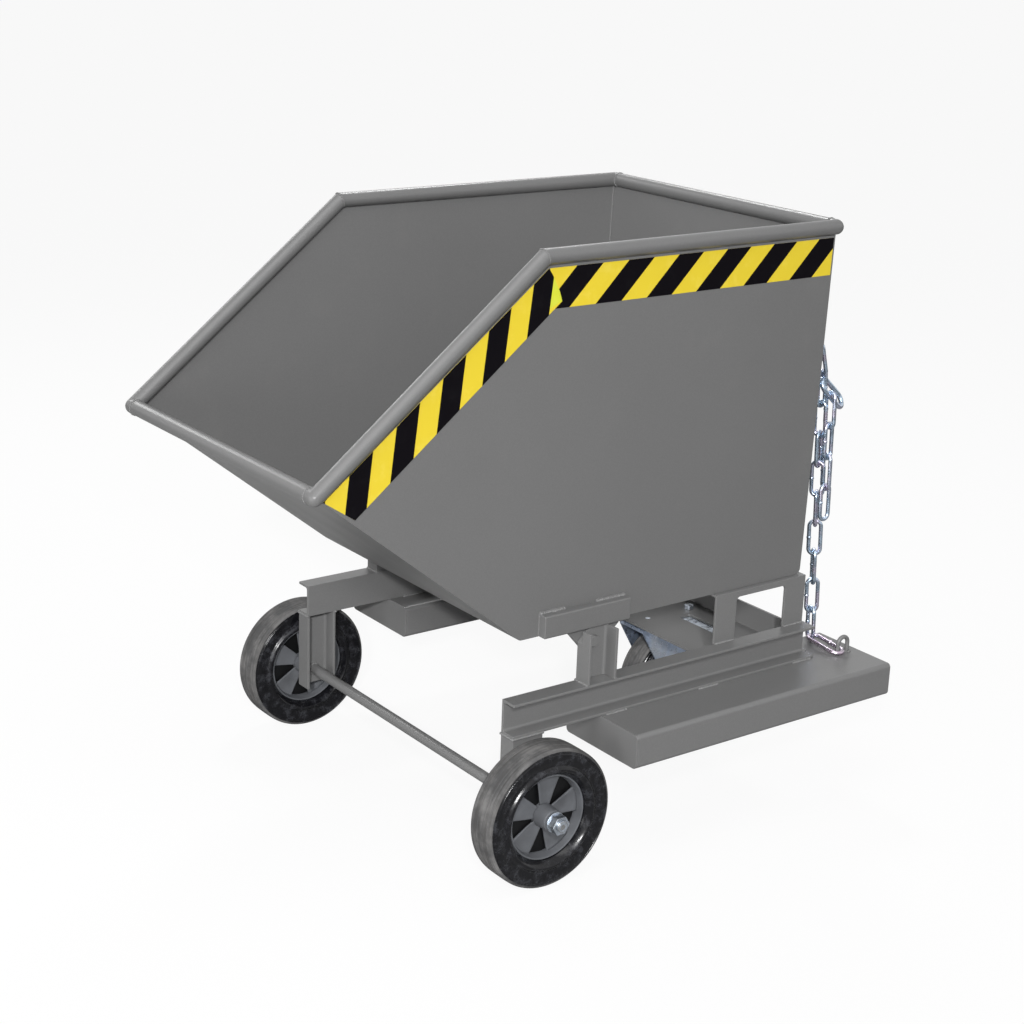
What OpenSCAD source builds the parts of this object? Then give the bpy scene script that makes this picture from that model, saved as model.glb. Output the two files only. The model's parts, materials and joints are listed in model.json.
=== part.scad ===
// Tipping skip trolley: an open steel skip that tilts on a wheeled chassis with
// fork pockets, two fixed front wheels, one rear swivel caster and a safety chain.
// X runs from the lip (minus) to the push end (plus), Y across, Z up from the floor.
// Most pieces are drawn from the front axle, at x = 0, and then moved as one so
// that the origin is at the middle of the whole footprint.

/* [Skip] */
// Width over the outer faces of the two side plates
skip_w = 614; // [560:1:640]
// Thickness of the skip's sheet
sheet_t = 3; // [2:0.5:4]
// Length of the flat bottom
floor_len = 643; // [600:1:680]
// Height of the skip's underside above the floor
skip_z = 403; // [396:1:420]
// Height from the skip's underside to the middle of the level rim tube
skip_depth = 641; // [560:1:700]
// How far the rim at the back stands out past the bottom's rear edge
rear_lean = 20; // [5:1:35]
// How far the lip reaches out in front of the bottom
lip_run = 395; // [330:1:440]
// Height of the lip tube above the skip's underside
lip_rise = 311; // [270:1:360]
// Length of the level rim
rim_flat = 641; // [580:1:660]
// Outside radius of the folds in the skip's sheet
fold_r = 12; // [6:1:20]
// Diameter of the rim tube
rim_d = 27; // [22:0.5:32]
// Wall of the rim tube
rim_wall = 2.6; // [2:0.1:4]

/* [Side rails and tape] */
// Length of the box rail on each side of the skip
rail_len = 184; // [160:1:200]
// Height of the box rail
rail_h = 40; // [30:1:50]
// How far the box rail stands out of the side plate
rail_out = 18; // [14:1:22]
// Width of the hazard tape
tape_w = 66; // [50:1:80]
// Thickness of the hazard tape
tape_t = 0.3; // [0.2:0.1:0.5]
// Length of one tape stripe along the tape
stripe_len = 53.7; // [40:0.1:70]
// Gap between the rim tube and the tape
tape_gap = 4; // [1:0.5:8]

/* [Chassis] */
// Gap between the skip's side plate and the channel's web
frame_gap = 6.6; // [5:0.2:8]
// Height of the channels' underside above the floor
deck_z = 248; // [245:1:256]
// Height of the U channel
channel_h = 62; // [56:1:66]
// Width of the U channel's flanges
channel_b = 34; // [30:1:40]
// Thickness of the U channel's web and flanges
channel_t = 5; // [4:0.5:6]
// Radius inside the U channel
channel_r = 5; // [3:0.5:8]
// How far the channels reach behind the skip's bottom rear edge
channel_over = 11; // [4:1:16]
// How far the front leg reaches below the axle's middle
leg_drop = 28; // [22:1:34]
// Distance from the front axle back to the tilting pivot
pivot_x = 155; // [148:1:162]
// Diameter of the tilting pivot pins
pivot_d = 20; // [16:1:24]
// Distance from the skip's underside down to the pivot
pivot_drop = 26; // [24:1:30]

/* [Fork pockets] */
// Width of one fork pocket, outside
pocket_w = 190; // [170:1:200]
// Height of one fork pocket, outside
pocket_h = 62; // [56:1:72]
// Wall of the fork pockets
pocket_t = 4; // [3:0.5:5]
// How far the fork pockets reach behind the skip's bottom rear edge
pocket_over = 115; // [100:1:126]
// Distance over the outer faces of the two pockets
pocket_span = 892; // [872:1:900]

/* [Rear frame] */
// Length of the rest portal along the channel
portal_len = 220; // [200:1:230]
// Width of the portal's two uprights
portal_leg = 50; // [40:1:56]
// Depth of the portal's top member
portal_top = 12; // [10:1:18]
// Thickness of the rear plates
plate_t = 5; // [4:0.5:6]
// Height of the cross plate's upright edge above the channels' underside
cross_h = 50; // [40:1:56]
// Length of the cross plate along the trolley
cross_len = 181; // [172:1:190]

/* [Wheels] */
// Diameter of the front wheels
wheel_d = 250; // [240:1:256]
// Width of the front tyres
tyre_w = 66; // [60:1:70]
// Diameter of the front wheels' plastic rim
rim_face_d = 152; // [140:1:164]
// Diameter of the front axle bar
axle_d = 20; // [16:1:24]
// Diameter of the rear caster wheel
caster_d = 204; // [190:1:210]
// Width of the caster tyre
caster_w = 56; // [44:1:60]
// Diameter of the caster's plastic rim
caster_rim_d = 148; // [140:1:156]
// Distance from the caster's swivel to its axle
caster_trail = 38; // [34:1:46]
// Distance from the channels' rear end forward to the caster's swivel
caster_ahead = 88; // [86:1:94]

/* [Safety chain] */
// Thickness of the chain's round bar
chain_bar = 7.5; // [7:0.25:8]
// Inside length of one chain link
link_in = 57.8; // [54:0.2:60]
// Inside width of one chain link
link_w = 14; // [13.5:0.5:15]
// How far the chain's foot stands behind the skip's bottom rear edge
chain_stand = 65; // [60:1:72]

/* [Push handle] */
// Height of the push handle above the skip's underside
handle_rise = 537; // [400:1:560]
// Width of the push handle between its tube centres
handle_w = 360; // [300:1:380]
// How far the handle's tube stands out behind the skip's bottom edge
handle_reach = 87; // [76:1:94]

/* [Fits] */
// Gap round a pin or an axle, on the radius
pin_gap = 0.05; // [0.02:0.01:0.09]
// Gap between faces that slide past each other
face_gap = 0.3; // [0.2:0.05:0.5]
// Gap between a rim and the tyre on it, on the radius
seat_gap = 0.1; // [0.05:0.05:0.2]

/* [Hidden] */
$fn = 64;

steel_paint = [0.43, 0.43, 0.43];
zinc = [0.72, 0.76, 0.82];
rubber = [0.10, 0.10, 0.11];
plastic = [0.30, 0.31, 0.32];
lap = 1;

// Heights and cross positions that the sizes above lead to
rim_r = rim_d / 2;
side_y = skip_w / 2;
rim_y = side_y - sheet_t / 2;
ear_t = 8;
web_y = side_y + frame_gap;
channel_top = deck_z + channel_h;
front_x = -channel_h / 2;
axle_z = wheel_d / 2;
axle_r = axle_d / 2;
pivot_r = pivot_d / 2;
pivot_z = skip_z - pivot_drop;
pocket_x = 155;
pocket_y = pocket_span / 2 - pocket_w;

// Skip outline in the X-Z plane: lip, bottom front, bottom rear, rear top, bend
floor_x = 6;
lip_pt = [floor_x - lip_run, skip_z + lip_rise];
front_pt = [floor_x, skip_z];
rear_pt = [floor_x + floor_len, skip_z];
top_pt = [floor_x + floor_len + rear_lean, skip_z + skip_depth];
bend_pt = [top_pt[0] - rim_flat, top_pt[1]];

// Rear ends that follow the skip's bottom rear edge
channel_rear = rear_pt[0] + channel_over;
channel_len = channel_rear - front_x;
pocket_rear = rear_pt[0] + pocket_over;
caster_x = channel_rear - caster_ahead;
chain_x = rear_pt[0] + chain_stand;

function unit(v) = v / norm(v);
function half_angle(p, q, s) = acos(unit(p - q) * unit(s - q)) / 2;
function inset(p, q, s, t) =
  q + unit(unit(p - q) + unit(s - q)) * t / sin(half_angle(p, q, s));
// Points of a round corner of radius r at q, between the points p and s
function fillet(p, q, s, r, n = 8) =
  let (
    half = half_angle(p, q, s),
    c = inset(p, q, s, r),
    a = q + unit(p - q) * r / tan(half) - c,
    b = q + unit(s - q) * r / tan(half) - c,
    from = atan2(a[1], a[0]),
    sweep = (atan2(b[1], b[0]) - from + 540) % 360 - 180
  )
  [for (i = [0:n]) c + r * [cos(from + sweep * i / n), sin(from + sweep * i / n)]];
function reversed(list) = [for (i = [len(list) - 1:-1:0]) list[i]];
function wall_x(z) = rear_pt[0] + rear_lean * (z - skip_z) / skip_depth;

// Fixed small sizes
ear_front = 50;
ear_back = 58;
ear_seat = 6;
ear_round = 24;
pin_head_t = 4;
pin_head_over = 5;
pin_over = 5;
washer_t = 3;
washer_r = 18;
sleeve_over = 6;
sleeve_wall = 4;
sleeve_half = tyre_w / 2 + sleeve_over;
wheel_y = web_y + channel_b + washer_t + sleeve_half;
wheel_nut_t = 16;
wheel_nut_d = 34.6;
axle_over = 4;
axle_end = wheel_y + sleeve_half + washer_t + wheel_nut_t + axle_over;
post_gap = 0.8;
post_rail_gap = 1.2;
tip_max = 48;
tip_step = 12;
adapter_t = 5;
adapter_w = 336;
adapter_len = 155;
race_t = 12;
race_r = 42;
top_plate_z = deck_z - adapter_t - plate_t;
race_z = top_plate_z - race_t;
fork_gap = 4;
fork_y = caster_w / 2 + fork_gap;
fork_t = 4;
fork_eye_r = 24;
fork_skirt = 7;
crown_t = 7;
caster_axle_r = 6;
caster_axle_x = caster_x + caster_trail;
caster_axle_z = caster_d / 2;
bolt_dx = 52.5;
bolt_dy = 40;
bolt_edge = 15;
slot_w = 28;
slot_y = 66;
slot_len = 100;
slot_back = 4;
corner_r = 5;

// Chain: base point, lean and the turn of each link about the run
link_rc = (link_w + chain_bar) / 2;
link_half = (link_in + chain_bar) / 2;
link_play = 0.2;
link_step = link_in - link_play;
chain_gap = 0.3;
chain_lift = 0.8;
chain_y = -285;
chain_z = deck_z + chain_bar / 2 + chain_lift;
chain_lean = 2.96;
link_turns = [-14, 64, -34, 48, -50, 32, -66, 16, -82, 0];
tail_turns = [0, 102, -10, 92];
link_count = len(link_turns);
hook_lean = 12;
hook_s = link_step * (link_count - 1);
peg_r = 4;
peg_drop = 30;
peg_up = chain_bar / 2 + link_in - peg_drop;
peg_x = chain_x - hook_s * sin(chain_lean) - peg_up * sin(chain_lean + hook_lean);
peg_z = chain_z + hook_s * cos(chain_lean) + peg_up * cos(chain_lean + hook_lean);
peg_end = 6;
oval_bar = 7.5;
oval_len = 81;
oval_w = 36;
oval_half = (oval_len - oval_bar) / 2;
oval_rc = (oval_w - oval_bar) / 2;
oval_dip = 48;
oval_roll = 29;
oval_drop = 1;
oval_s = hook_s - (chain_bar + oval_bar) / 2 - oval_drop;
quick_bar = 8;
quick_half = 40.5;
quick_rc = 12.5;
quick_z = chain_z + (chain_bar + quick_bar) / 2 + chain_gap;
quick_low = deck_z + quick_bar / 2 + chain_gap;
eye_bar = 8;
eye_gap = 24;
eye_leg = 19;

// Moves a piece drawn from the front axle to the trolley's own origin
front_end = lip_pt[0] - rim_r;
rear_end = max(pocket_rear, rear_pt[0] + handle_reach + rim_r);
shift_x = -(front_end + rear_end) / 2;
module placed() { translate([shift_x, 0, 0]) children(); }

// A flat shape in the X-Z plane, t thick, from y0 towards plus Y
module slab(y0, t) { translate([0, y0 + t, 0]) rotate([90, 0, 0]) linear_extrude(t) children(); }
// Right-hand piece as drawn, left-hand piece mirrored
module left() { mirror([0, 1, 0]) children(); }
module both() { children(); left() children(); }
// A round bar between two points
module bar(a, b, r, n = 48) {
  d = b - a;
  translate(a) rotate([0, acos(d[2] / norm(d)), atan2(d[1], d[0])]) cylinder(h = norm(d), r = r, $fn = n);
}
// The same bar with the rim tube's bore through it
module tube(a, b, r) {
  over = unit(b - a) * lap;
  difference() {
    bar(a, b, r);
    bar(a - over, b + over, r - rim_wall);
  }
}
module round_rect(w, h, r) {
  translate([r, 0]) square([w - 2 * r, h]);
  translate([0, r]) square([w, h - 2 * r]);
  for (x = [r, w - r]) for (y = [r, h - r]) translate([x, y]) circle(r);
}
module flat_hole(x, z, r) { translate([x, z]) circle(r); }

// Skip
outer_front = fillet(lip_pt, front_pt, rear_pt, fold_r);
outer_rear = fillet(front_pt, rear_pt, top_pt, fold_r);
front_in = inset(lip_pt, front_pt, rear_pt, sheet_t);
rear_in = inset(front_pt, rear_pt, top_pt, sheet_t);
inner_front = fillet(front_in + lip_pt - front_pt, front_in, rear_in, fold_r - sheet_t);
inner_rear = fillet(front_in, rear_in, rear_in + top_pt - rear_pt, fold_r - sheet_t);

module rim_path_2d(r) {
  for (pair = [[lip_pt, bend_pt], [bend_pt, top_pt]])
    translate(pair[0]) rotate(atan2(pair[1][1] - pair[0][1], pair[1][0] - pair[0][0]))
      translate([0, -r]) square([norm(pair[1] - pair[0]), 2 * r]);
  for (p = [lip_pt, bend_pt, top_pt]) translate(p) circle(r);
}
module side_2d() {
  difference() {
    polygon(concat([lip_pt], outer_front, outer_rear, [top_pt, bend_pt]));
    rim_path_2d(rim_r);
  }
}
module skip_side() { color(steel_paint) placed() slab(side_y - sheet_t, sheet_t) side_2d(); }

module skip_sheet() {
  color(steel_paint) placed() slab(-side_y + sheet_t, skip_w - 2 * sheet_t)
    difference() {
      polygon(concat([lip_pt], outer_front, outer_rear, [top_pt],
        [rear_in + top_pt - rear_pt], reversed(inner_rear), reversed(inner_front),
        [front_in + lip_pt - front_pt]));
      rim_path_2d(rim_r);
    }
}

function rim_at(p, y) = [p[0], y, p[1]];
module rim_side_shape(r) {
  bar(rim_at(lip_pt, rim_y), rim_at(bend_pt, rim_y), r);
  bar(rim_at(bend_pt, rim_y), rim_at(top_pt, rim_y), r);
  for (p = [lip_pt, bend_pt, top_pt]) translate(rim_at(p, rim_y)) sphere(r, $fn = 48);
}
module rim_side() {
  color(steel_paint) placed() difference() {
    rim_side_shape(rim_r);
    rim_side_shape(rim_r - rim_wall);
  }
}
module rim_cross(p) {
  color(steel_paint) placed() difference() {
    tube(rim_at(p, -rim_y), rim_at(p, rim_y), rim_r);
    both() rim_side_shape(rim_r);
  }
}

rail_ahead = 110;
rail_round = 3;
module side_rail() {
  color(steel_paint) placed() translate([pivot_x - rail_ahead, side_y, skip_z])
    rotate([90, 0, 90]) linear_extrude(rail_len) {
      square([rail_out / 2, rail_h]);
      round_rect(rail_out, rail_h, rail_round);
    }
}

// Lug under each side of the skip that turns on the pivot pin
module ear() {
  slab(web_y - face_gap - ear_t, ear_t) difference() {
    hull() {
      translate([pivot_x, pivot_z]) circle(ear_round, $fn = 48);
      translate([pivot_x - ear_front, skip_z - ear_seat]) square([ear_front + ear_back, ear_seat]);
    }
    flat_hole(pivot_x, pivot_z, pivot_r + pin_gap);
  }
}
module pivot_ears() { color(steel_paint) placed() both() ear(); }

// Hazard tape: a band below the rim, and the dark stripes laid on it
slope_turn = atan2(bend_pt[1] - lip_pt[1], bend_pt[0] - lip_pt[0]);
slope_len = norm(bend_pt - lip_pt);
band_top = rim_r + tape_gap;
band_low = band_top + tape_w;
tape_edge = 4;
stripe_t = 0.15;
stripe_start = 31;
// Draws its children along the sloping stretch (0) or the level stretch (1) of the rim
module along_rim(level) {
  translate(level ? bend_pt : lip_pt) rotate(level ? 0 : slope_turn) children();
}
module tape_limit_2d() {
  inward = unit([lip_pt[1] - front_pt[1], front_pt[0] - lip_pt[0]]) * tape_edge;
  polygon([lip_pt + inward, front_pt + inward, rear_pt - [tape_edge, 0], top_pt - [tape_edge, 0], bend_pt]);
}
module tape_area_2d() {
  difference() {
    intersection() {
      tape_limit_2d();
      for (level = [0, 1]) along_rim(level)
        translate([-band_low, -band_low]) square([max(slope_len, rim_flat) + 2 * band_low, tape_w]);
    }
    rim_path_2d(band_top);
  }
}
// The stretch's own side of the line that halves the bend
module own_side_2d(level) {
  far = slope_len + rim_flat;
  translate(bend_pt) rotate(slope_turn / 2) translate([level ? 0 : -far, -far]) square([far, 2 * far]);
}
module stripes_2d() {
  pitch = 2 * stripe_len;
  for (i = [-1:ceil(max(slope_len, rim_flat) / pitch)])
    translate([stripe_start + i * pitch, -(band_top + band_low) / 2])
      multmatrix([[1, 1, 0, 0], [0, 1, 0, 0], [0, 0, 1, 0]])
        translate([0, -tape_w]) square([stripe_len, 2 * tape_w]);
}
module stripe_area_2d() {
  for (level = [0, 1]) intersection() {
    tape_area_2d();
    own_side_2d(level);
    along_rim(level) stripes_2d();
  }
}
module hazard_tape() { color([0.93, 0.82, 0.20]) placed() slab(side_y, tape_t) tape_area_2d(); }
module tape_stripes() { color([0.08, 0.08, 0.09]) placed() slab(side_y + tape_t, stripe_t) stripe_area_2d(); }

// Push handle: a bent tube on the skip's back wall
handle_z = skip_z + handle_rise;
handle_bend = 40;
module push_handle() {
  root = wall_x(handle_z + rim_r);
  out = rear_pt[0] + handle_reach;
  straight = handle_w / 2 - handle_bend;
  color(steel_paint) placed() {
    both() {
      tube([out - handle_bend, handle_w / 2, handle_z], [root, handle_w / 2, handle_z], rim_r);
      translate([out - handle_bend, straight, handle_z])
        rotate_extrude(angle = 90, $fn = 96) translate([handle_bend, 0]) difference() {
          circle(rim_r, $fn = 48);
          circle(rim_r - rim_wall, $fn = 48);
        }
    }
    tube([out, -straight, handle_z], [out, straight, handle_z], rim_r);
  }
}

// Peg on the back wall that the chain's top link is hung on
module chain_peg() {
  color(zinc) placed() bar(
    [wall_x(peg_z + peg_r), chain_y, peg_z],
    [peg_x + peg_end, chain_y, peg_z], peg_r, 32);
}

// Chassis
module u_outline() {
  in_h = channel_h - 2 * channel_t;
  difference() {
    square([channel_b, channel_h]);
    translate([channel_t, channel_t]) {
      translate([channel_r, 0]) square([channel_b, in_h]);
      translate([0, channel_r]) square([channel_b, in_h - 2 * channel_r]);
      for (z = [channel_r, in_h - channel_r]) translate([channel_r, z]) circle(channel_r);
    }
  }
}
module channel() {
  color(steel_paint) placed() translate([front_x, web_y, deck_z])
    rotate([90, 0, 90]) linear_extrude(channel_len) u_outline();
}
// Front leg: a cut of the channel stood on end, web outwards, drilled for the axle
module leg() {
  color(steel_paint) placed() difference() {
    translate([-channel_h / 2, web_y + channel_b, axle_z - leg_drop])
      linear_extrude(deck_z - axle_z + leg_drop) rotate(-90) u_outline();
    bar([0, 0, axle_z], [0, axle_end, axle_z], axle_r + pin_gap, 64);
  }
}
// Pivot post: a cut of the channel, web inwards, notched so that the rail can turn past
module post() {
  color(steel_paint) placed() difference() {
    translate([pivot_x + channel_h / 2, web_y, channel_top])
      linear_extrude(skip_z - post_gap - channel_top) rotate(90) u_outline();
    slab(web_y - lap, side_y + rail_out + post_rail_gap - web_y + lap) post_notch_2d();
    bar([pivot_x, 0, pivot_z], [pivot_x, axle_end, pivot_z], pivot_r + pin_gap, 64);
  }
}
module post_notch_2d() {
  for (a = [0:tip_step:tip_max])
    translate([pivot_x, pivot_z]) rotate(a)
      translate([-2 * channel_h, pivot_drop - post_gap]) square([4 * channel_h, channel_h]);
}
module pivot_pins() {
  color(zinc) placed() both() {
    head_y = web_y - 2 * face_gap - ear_t;
    bar([pivot_x, head_y, pivot_z], [pivot_x, web_y + channel_t + pin_over, pivot_z], pivot_r, 64);
    bar([pivot_x, head_y - pin_head_t, pivot_z], [pivot_x, head_y, pivot_z], pivot_r + pin_head_over, 64);
  }
}

module pocket() {
  tube_x = pocket_x + pocket_t;
  color(steel_paint) placed() translate([tube_x, pocket_y, deck_z - pocket_h])
    rotate([90, 0, 90]) linear_extrude(pocket_rear - tube_x) difference() {
      round_rect(pocket_w, pocket_h, 2 * pocket_t);
      translate([pocket_t, pocket_t]) round_rect(pocket_w - 2 * pocket_t, pocket_h - 2 * pocket_t, pocket_t);
    }
}
// Plates that close the pockets' front ends
module pocket_caps() {
  color(steel_paint) placed() both() translate([pocket_x, pocket_y, deck_z - pocket_h])
    rotate([90, 0, 90]) linear_extrude(pocket_t) round_rect(pocket_w, pocket_h, 2 * pocket_t);
}

// Rest portal on each channel, with a seat flange that carries the skip's rear
portal_inset = 4;
portal_side = 2;
portal_x = channel_rear - portal_len - portal_inset;
portal_y = web_y - portal_side;
window_r = 8;
seat_w = 42;
seat_z = skip_z - face_gap;
module portal() {
  window_w = portal_len - 2 * portal_leg;
  window_h = seat_z - portal_top - channel_top;
  color(steel_paint) placed() {
    slab(portal_y, plate_t) difference() {
      translate([portal_x, channel_top]) square([portal_len, seat_z - channel_top]);
      translate([portal_x + portal_leg, channel_top - window_h]) round_rect(window_w, 2 * window_h, window_r);
    }
    translate([portal_x, portal_y - seat_w, seat_z - plate_t]) cube([portal_len, seat_w + lap, plate_t]);
  }
}

// Folded plate between the channels that carries the caster
cross_x = channel_rear - cross_len;
module slot_2d() {
  translate([caster_x + slot_back, slot_y]) round_rect(slot_w, slot_len, corner_r);
}
module cross_plate() {
  color(steel_paint) placed() {
    translate([0, 0, deck_z]) linear_extrude(plate_t) difference() {
      translate([cross_x, -web_y]) square([cross_len, 2 * web_y]);
      slot_2d();
      mirror([0, 1]) slot_2d();
      bolt_holes_2d();
    }
    translate([channel_rear - plate_t, -web_y, deck_z]) cube([plate_t, 2 * web_y, cross_h]);
  }
}
bolt_r = 5;
module bolt_holes_2d() {
  for (x = [-bolt_dx, bolt_dx]) for (y = [-bolt_dy, bolt_dy])
    translate([caster_x + x, y]) circle(bolt_r + pin_gap);
}
module caster_adapter() {
  color(zinc) placed() translate([0, 0, deck_z - adapter_t]) linear_extrude(adapter_t) difference() {
    translate([caster_x - adapter_len / 2, -adapter_w / 2]) square([adapter_len, adapter_w]);
    bolt_holes_2d();
  }
}

// Front axle and wheels
module axle_bar() {
  color(steel_paint) placed() bar([0, -axle_end, axle_z], [0, axle_end, axle_z], axle_r, 64);
}
module ring(y0, t, r_out, r_in, x = 0, z = axle_z, n = 64) {
  translate([x, y0 + t, z]) rotate([90, 0, 0]) difference() {
    cylinder(h = t, r = r_out, $fn = n);
    translate([0, 0, -lap]) cylinder(h = t + 2 * lap, r = r_in, $fn = 64);
  }
}
module wheel_washers() {
  color(zinc) placed() both() for (y = [web_y + channel_b, wheel_y + sleeve_half])
    ring(y, washer_t, washer_r, axle_r + pin_gap);
}
module wheel_nuts() {
  color(zinc) placed() both()
    ring(wheel_y + sleeve_half + washer_t, wheel_nut_t, wheel_nut_d / 2, axle_r + pin_gap, n = 6);
}
shoulder = 9;
bead_r = 3;
bead_out = 2;
// A tyre w wide with a raised ring on each side, its axis along Y
module tyre_shape(r_out, r_in, w, bead_at) {
  flat_y = w / 2 - bead_out;
  rotate([90, 0, 0]) rotate_extrude($fn = 96) {
    translate([r_in, -flat_y]) square([r_out - r_in - shoulder, 2 * flat_y]);
    translate([r_in, shoulder - flat_y]) square([r_out - r_in, 2 * (flat_y - shoulder)]);
    for (side = [-1, 1]) {
      translate([r_out - shoulder, side * (flat_y - shoulder)]) circle(shoulder, $fn = 48);
      translate([r_in + bead_at, side * (flat_y + bead_out - bead_r)]) circle(bead_r, $fn = 24);
    }
  }
}
spoke_count = 5;
spoke_turn = 47;
spoke_half = 13;
gap_root = 5;
gap_turn = 26;
disc_t = 6;
rim_set = 2;
hub_out = 3;
// A plastic rim for a tyre w wide: ring, thin disc, hub and wide spokes, its axis along Y
module rim_shape(r_out, ring_t, r_hub, r_bore, w) {
  r_ring = r_out - ring_t;
  reach = r_ring - r_hub + 2 * lap;
  rotate([90, 0, 0]) {
    rotate_extrude($fn = 96) {
      translate([r_ring, rim_set - w / 2]) square([ring_t, w - 2 * rim_set]);
      translate([r_hub - lap, -disc_t / 2]) square([reach, disc_t]);
      translate([r_bore, -hub_out - w / 2]) square([r_hub - r_bore, w + 2 * hub_out]);
    }
    translate([0, 0, -spoke_half]) linear_extrude(2 * spoke_half) difference() {
      circle(r_ring + lap, $fn = 96);
      circle(r_hub - lap, $fn = 64);
      for (i = [0:spoke_count - 1]) rotate(spoke_turn + i * 360 / spoke_count)
        polygon([[0, -gap_root / 2], [r_out, -gap_root / 2 - (r_out - r_hub) * tan(gap_turn / 2)],
          [r_out, gap_root / 2 + (r_out - r_hub) * tan(gap_turn / 2)], [0, gap_root / 2]]);
    }
  }
}
front_rim_r = rim_face_d / 2;
front_ring_t = 6;
front_hub_wall = 7;
front_bead = 17;
sleeve_r = axle_r + sleeve_wall;
module at_front_wheel() { placed() translate([0, wheel_y, axle_z]) children(); }
module front_tyre() { color(rubber) at_front_wheel() tyre_shape(axle_z, front_rim_r, tyre_w, front_bead); }
module front_rim() {
  color(plastic) at_front_wheel()
    rim_shape(front_rim_r - seat_gap, front_ring_t, sleeve_r + front_hub_wall, sleeve_r + pin_gap, tyre_w);
}
module front_sleeve() {
  half = sleeve_half - face_gap;
  color(zinc) placed() ring(wheel_y - half, 2 * half, sleeve_r, axle_r + pin_gap);
}

// Rear caster
module caster_plate() {
  color(zinc) placed() translate([0, 0, top_plate_z]) linear_extrude(plate_t) difference() {
    translate([caster_x - bolt_dx - bolt_edge, -bolt_dy - bolt_edge])
      round_rect(2 * (bolt_dx + bolt_edge), 2 * (bolt_dy + bolt_edge), 2 * corner_r);
    bolt_holes_2d();
  }
}
king_r = 8;
module swivel_race() {
  color(zinc) placed() translate([caster_x, 0, race_z + face_gap]) difference() {
    cylinder(h = race_t - face_gap, r = race_r);
    translate([0, 0, -lap]) cylinder(h = race_t + 2 * lap, r = king_r + pin_gap);
  }
}
king_head_t = 8;
king_head_r = 13;
module kingpin() {
  color(zinc) placed() translate([caster_x, 0, race_z - crown_t - face_gap - king_head_t]) {
    cylinder(h = king_head_t, r = king_head_r, $fn = 6);
    cylinder(h = race_t + crown_t + face_gap + king_head_t, r = king_r);
  }
}
bolt_head_t = 6.4;
bolt_head_r = 9.8;
bolt_nut_t = 8;
bolt_over = 2;
// The rear pair has its heads on top; the front pair ends flush with the plate
module caster_bolts() {
  low = top_plate_z - bolt_nut_t;
  high = deck_z + plate_t;
  color(zinc) placed() {
    for (x = [-bolt_dx, bolt_dx]) for (y = [-bolt_dy, bolt_dy]) translate([caster_x + x, y, 0]) {
      translate([0, 0, low - bolt_over]) cylinder(h = high - low + bolt_over, r = bolt_r);
      translate([0, 0, low]) cylinder(h = bolt_nut_t, r = bolt_head_r, $fn = 6);
    }
    for (y = [-bolt_dy, bolt_dy]) translate([caster_x + bolt_dx, y, high])
      cylinder(h = bolt_head_t, r = bolt_head_r, $fn = 6);
  }
}
crown_front = 58;
crown_back = 50;
module caster_fork() {
  color(zinc) placed() {
    for (y = [fork_y, -fork_y - fork_t]) slab(y, fork_t) difference() {
      hull() {
        translate([caster_axle_x, caster_axle_z]) circle(fork_eye_r, $fn = 32);
        translate([caster_x - crown_front, race_z - fork_skirt])
          square([crown_front + crown_back, fork_skirt]);
      }
      flat_hole(caster_axle_x, caster_axle_z, caster_axle_r + pin_gap);
    }
    translate([0, 0, race_z - crown_t]) linear_extrude(crown_t) difference() {
      translate([caster_x - crown_front, -fork_y]) square([crown_front + crown_back, 2 * fork_y]);
      translate([caster_x, 0]) circle(king_r + pin_gap);
    }
  }
}
axle_head_t = 8;
axle_head_r = 11;
module caster_axle() {
  out = fork_y + fork_t;
  color(zinc) placed() translate([caster_axle_x, 0, caster_axle_z]) rotate([90, 0, 0]) {
    translate([0, 0, -out - axle_head_t]) {
      cylinder(h = 2 * (out + axle_head_t), r = caster_axle_r, $fn = 48);
      cylinder(h = axle_head_t, r = axle_head_r, $fn = 6);
    }
    translate([0, 0, out]) cylinder(h = axle_head_t, r = axle_head_r, $fn = 6);
  }
}
caster_rim_r = caster_rim_d / 2;
caster_ring_t = 6;
caster_hub_wall = 10;
caster_bead = 11;
caster_sleeve_r = caster_axle_r + sleeve_wall;
module at_caster_wheel() { placed() translate([caster_axle_x, 0, caster_axle_z]) children(); }
module caster_tyre() {
  color(rubber) at_caster_wheel() tyre_shape(caster_axle_z, caster_rim_r, caster_w, caster_bead);
}
module caster_rim() {
  color(plastic) at_caster_wheel() rim_shape(caster_rim_r - seat_gap, caster_ring_t,
    caster_sleeve_r + caster_hub_wall, caster_sleeve_r + pin_gap, caster_w);
}
module caster_sleeve() {
  half = fork_y - face_gap;
  color(zinc) placed()
    ring(-half, 2 * half, caster_sleeve_r, caster_axle_r + pin_gap, caster_axle_x, caster_axle_z);
}

// Chain, from the eye on the left pocket up to the peg
// An oval ring of round bar: half is half its length between bar centres, rc its end radius
module oval(half, rc, r) {
  straight = half - rc;
  for (x = [-rc, rc]) translate([x, 0, -straight]) cylinder(h = 2 * straight, r = r, $fn = 24);
  for (flip = [0, 180]) rotate([0, flip, 0]) translate([0, 0, straight])
    rotate([90, 0, 0]) rotate_extrude(angle = 180, $fn = 48) translate([rc, 0]) circle(r, $fn = 24);
}
module link(turn_z) { rotate([0, 0, turn_z + 90]) oval(link_half, link_rc, chain_bar / 2); }
module on_chain() {
  color(zinc) placed() translate([chain_x, chain_y, chain_z]) rotate([0, -chain_lean, 0]) children();
}
module chain_run() {
  on_chain() {
    for (i = [0:link_count - 2]) translate([0, 0, link_half + i * link_step]) link(link_turns[i]);
    translate([0, 0, hook_s]) rotate([0, -hook_lean, 0])
      translate([0, 0, link_half]) link(link_turns[link_count - 1]);
  }
}
oval_root = [chain_x - oval_s * sin(chain_lean), chain_y, chain_z + oval_s * cos(chain_lean)];
oval_dir = [cos(oval_dip), 0, -sin(oval_dip)];
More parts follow.
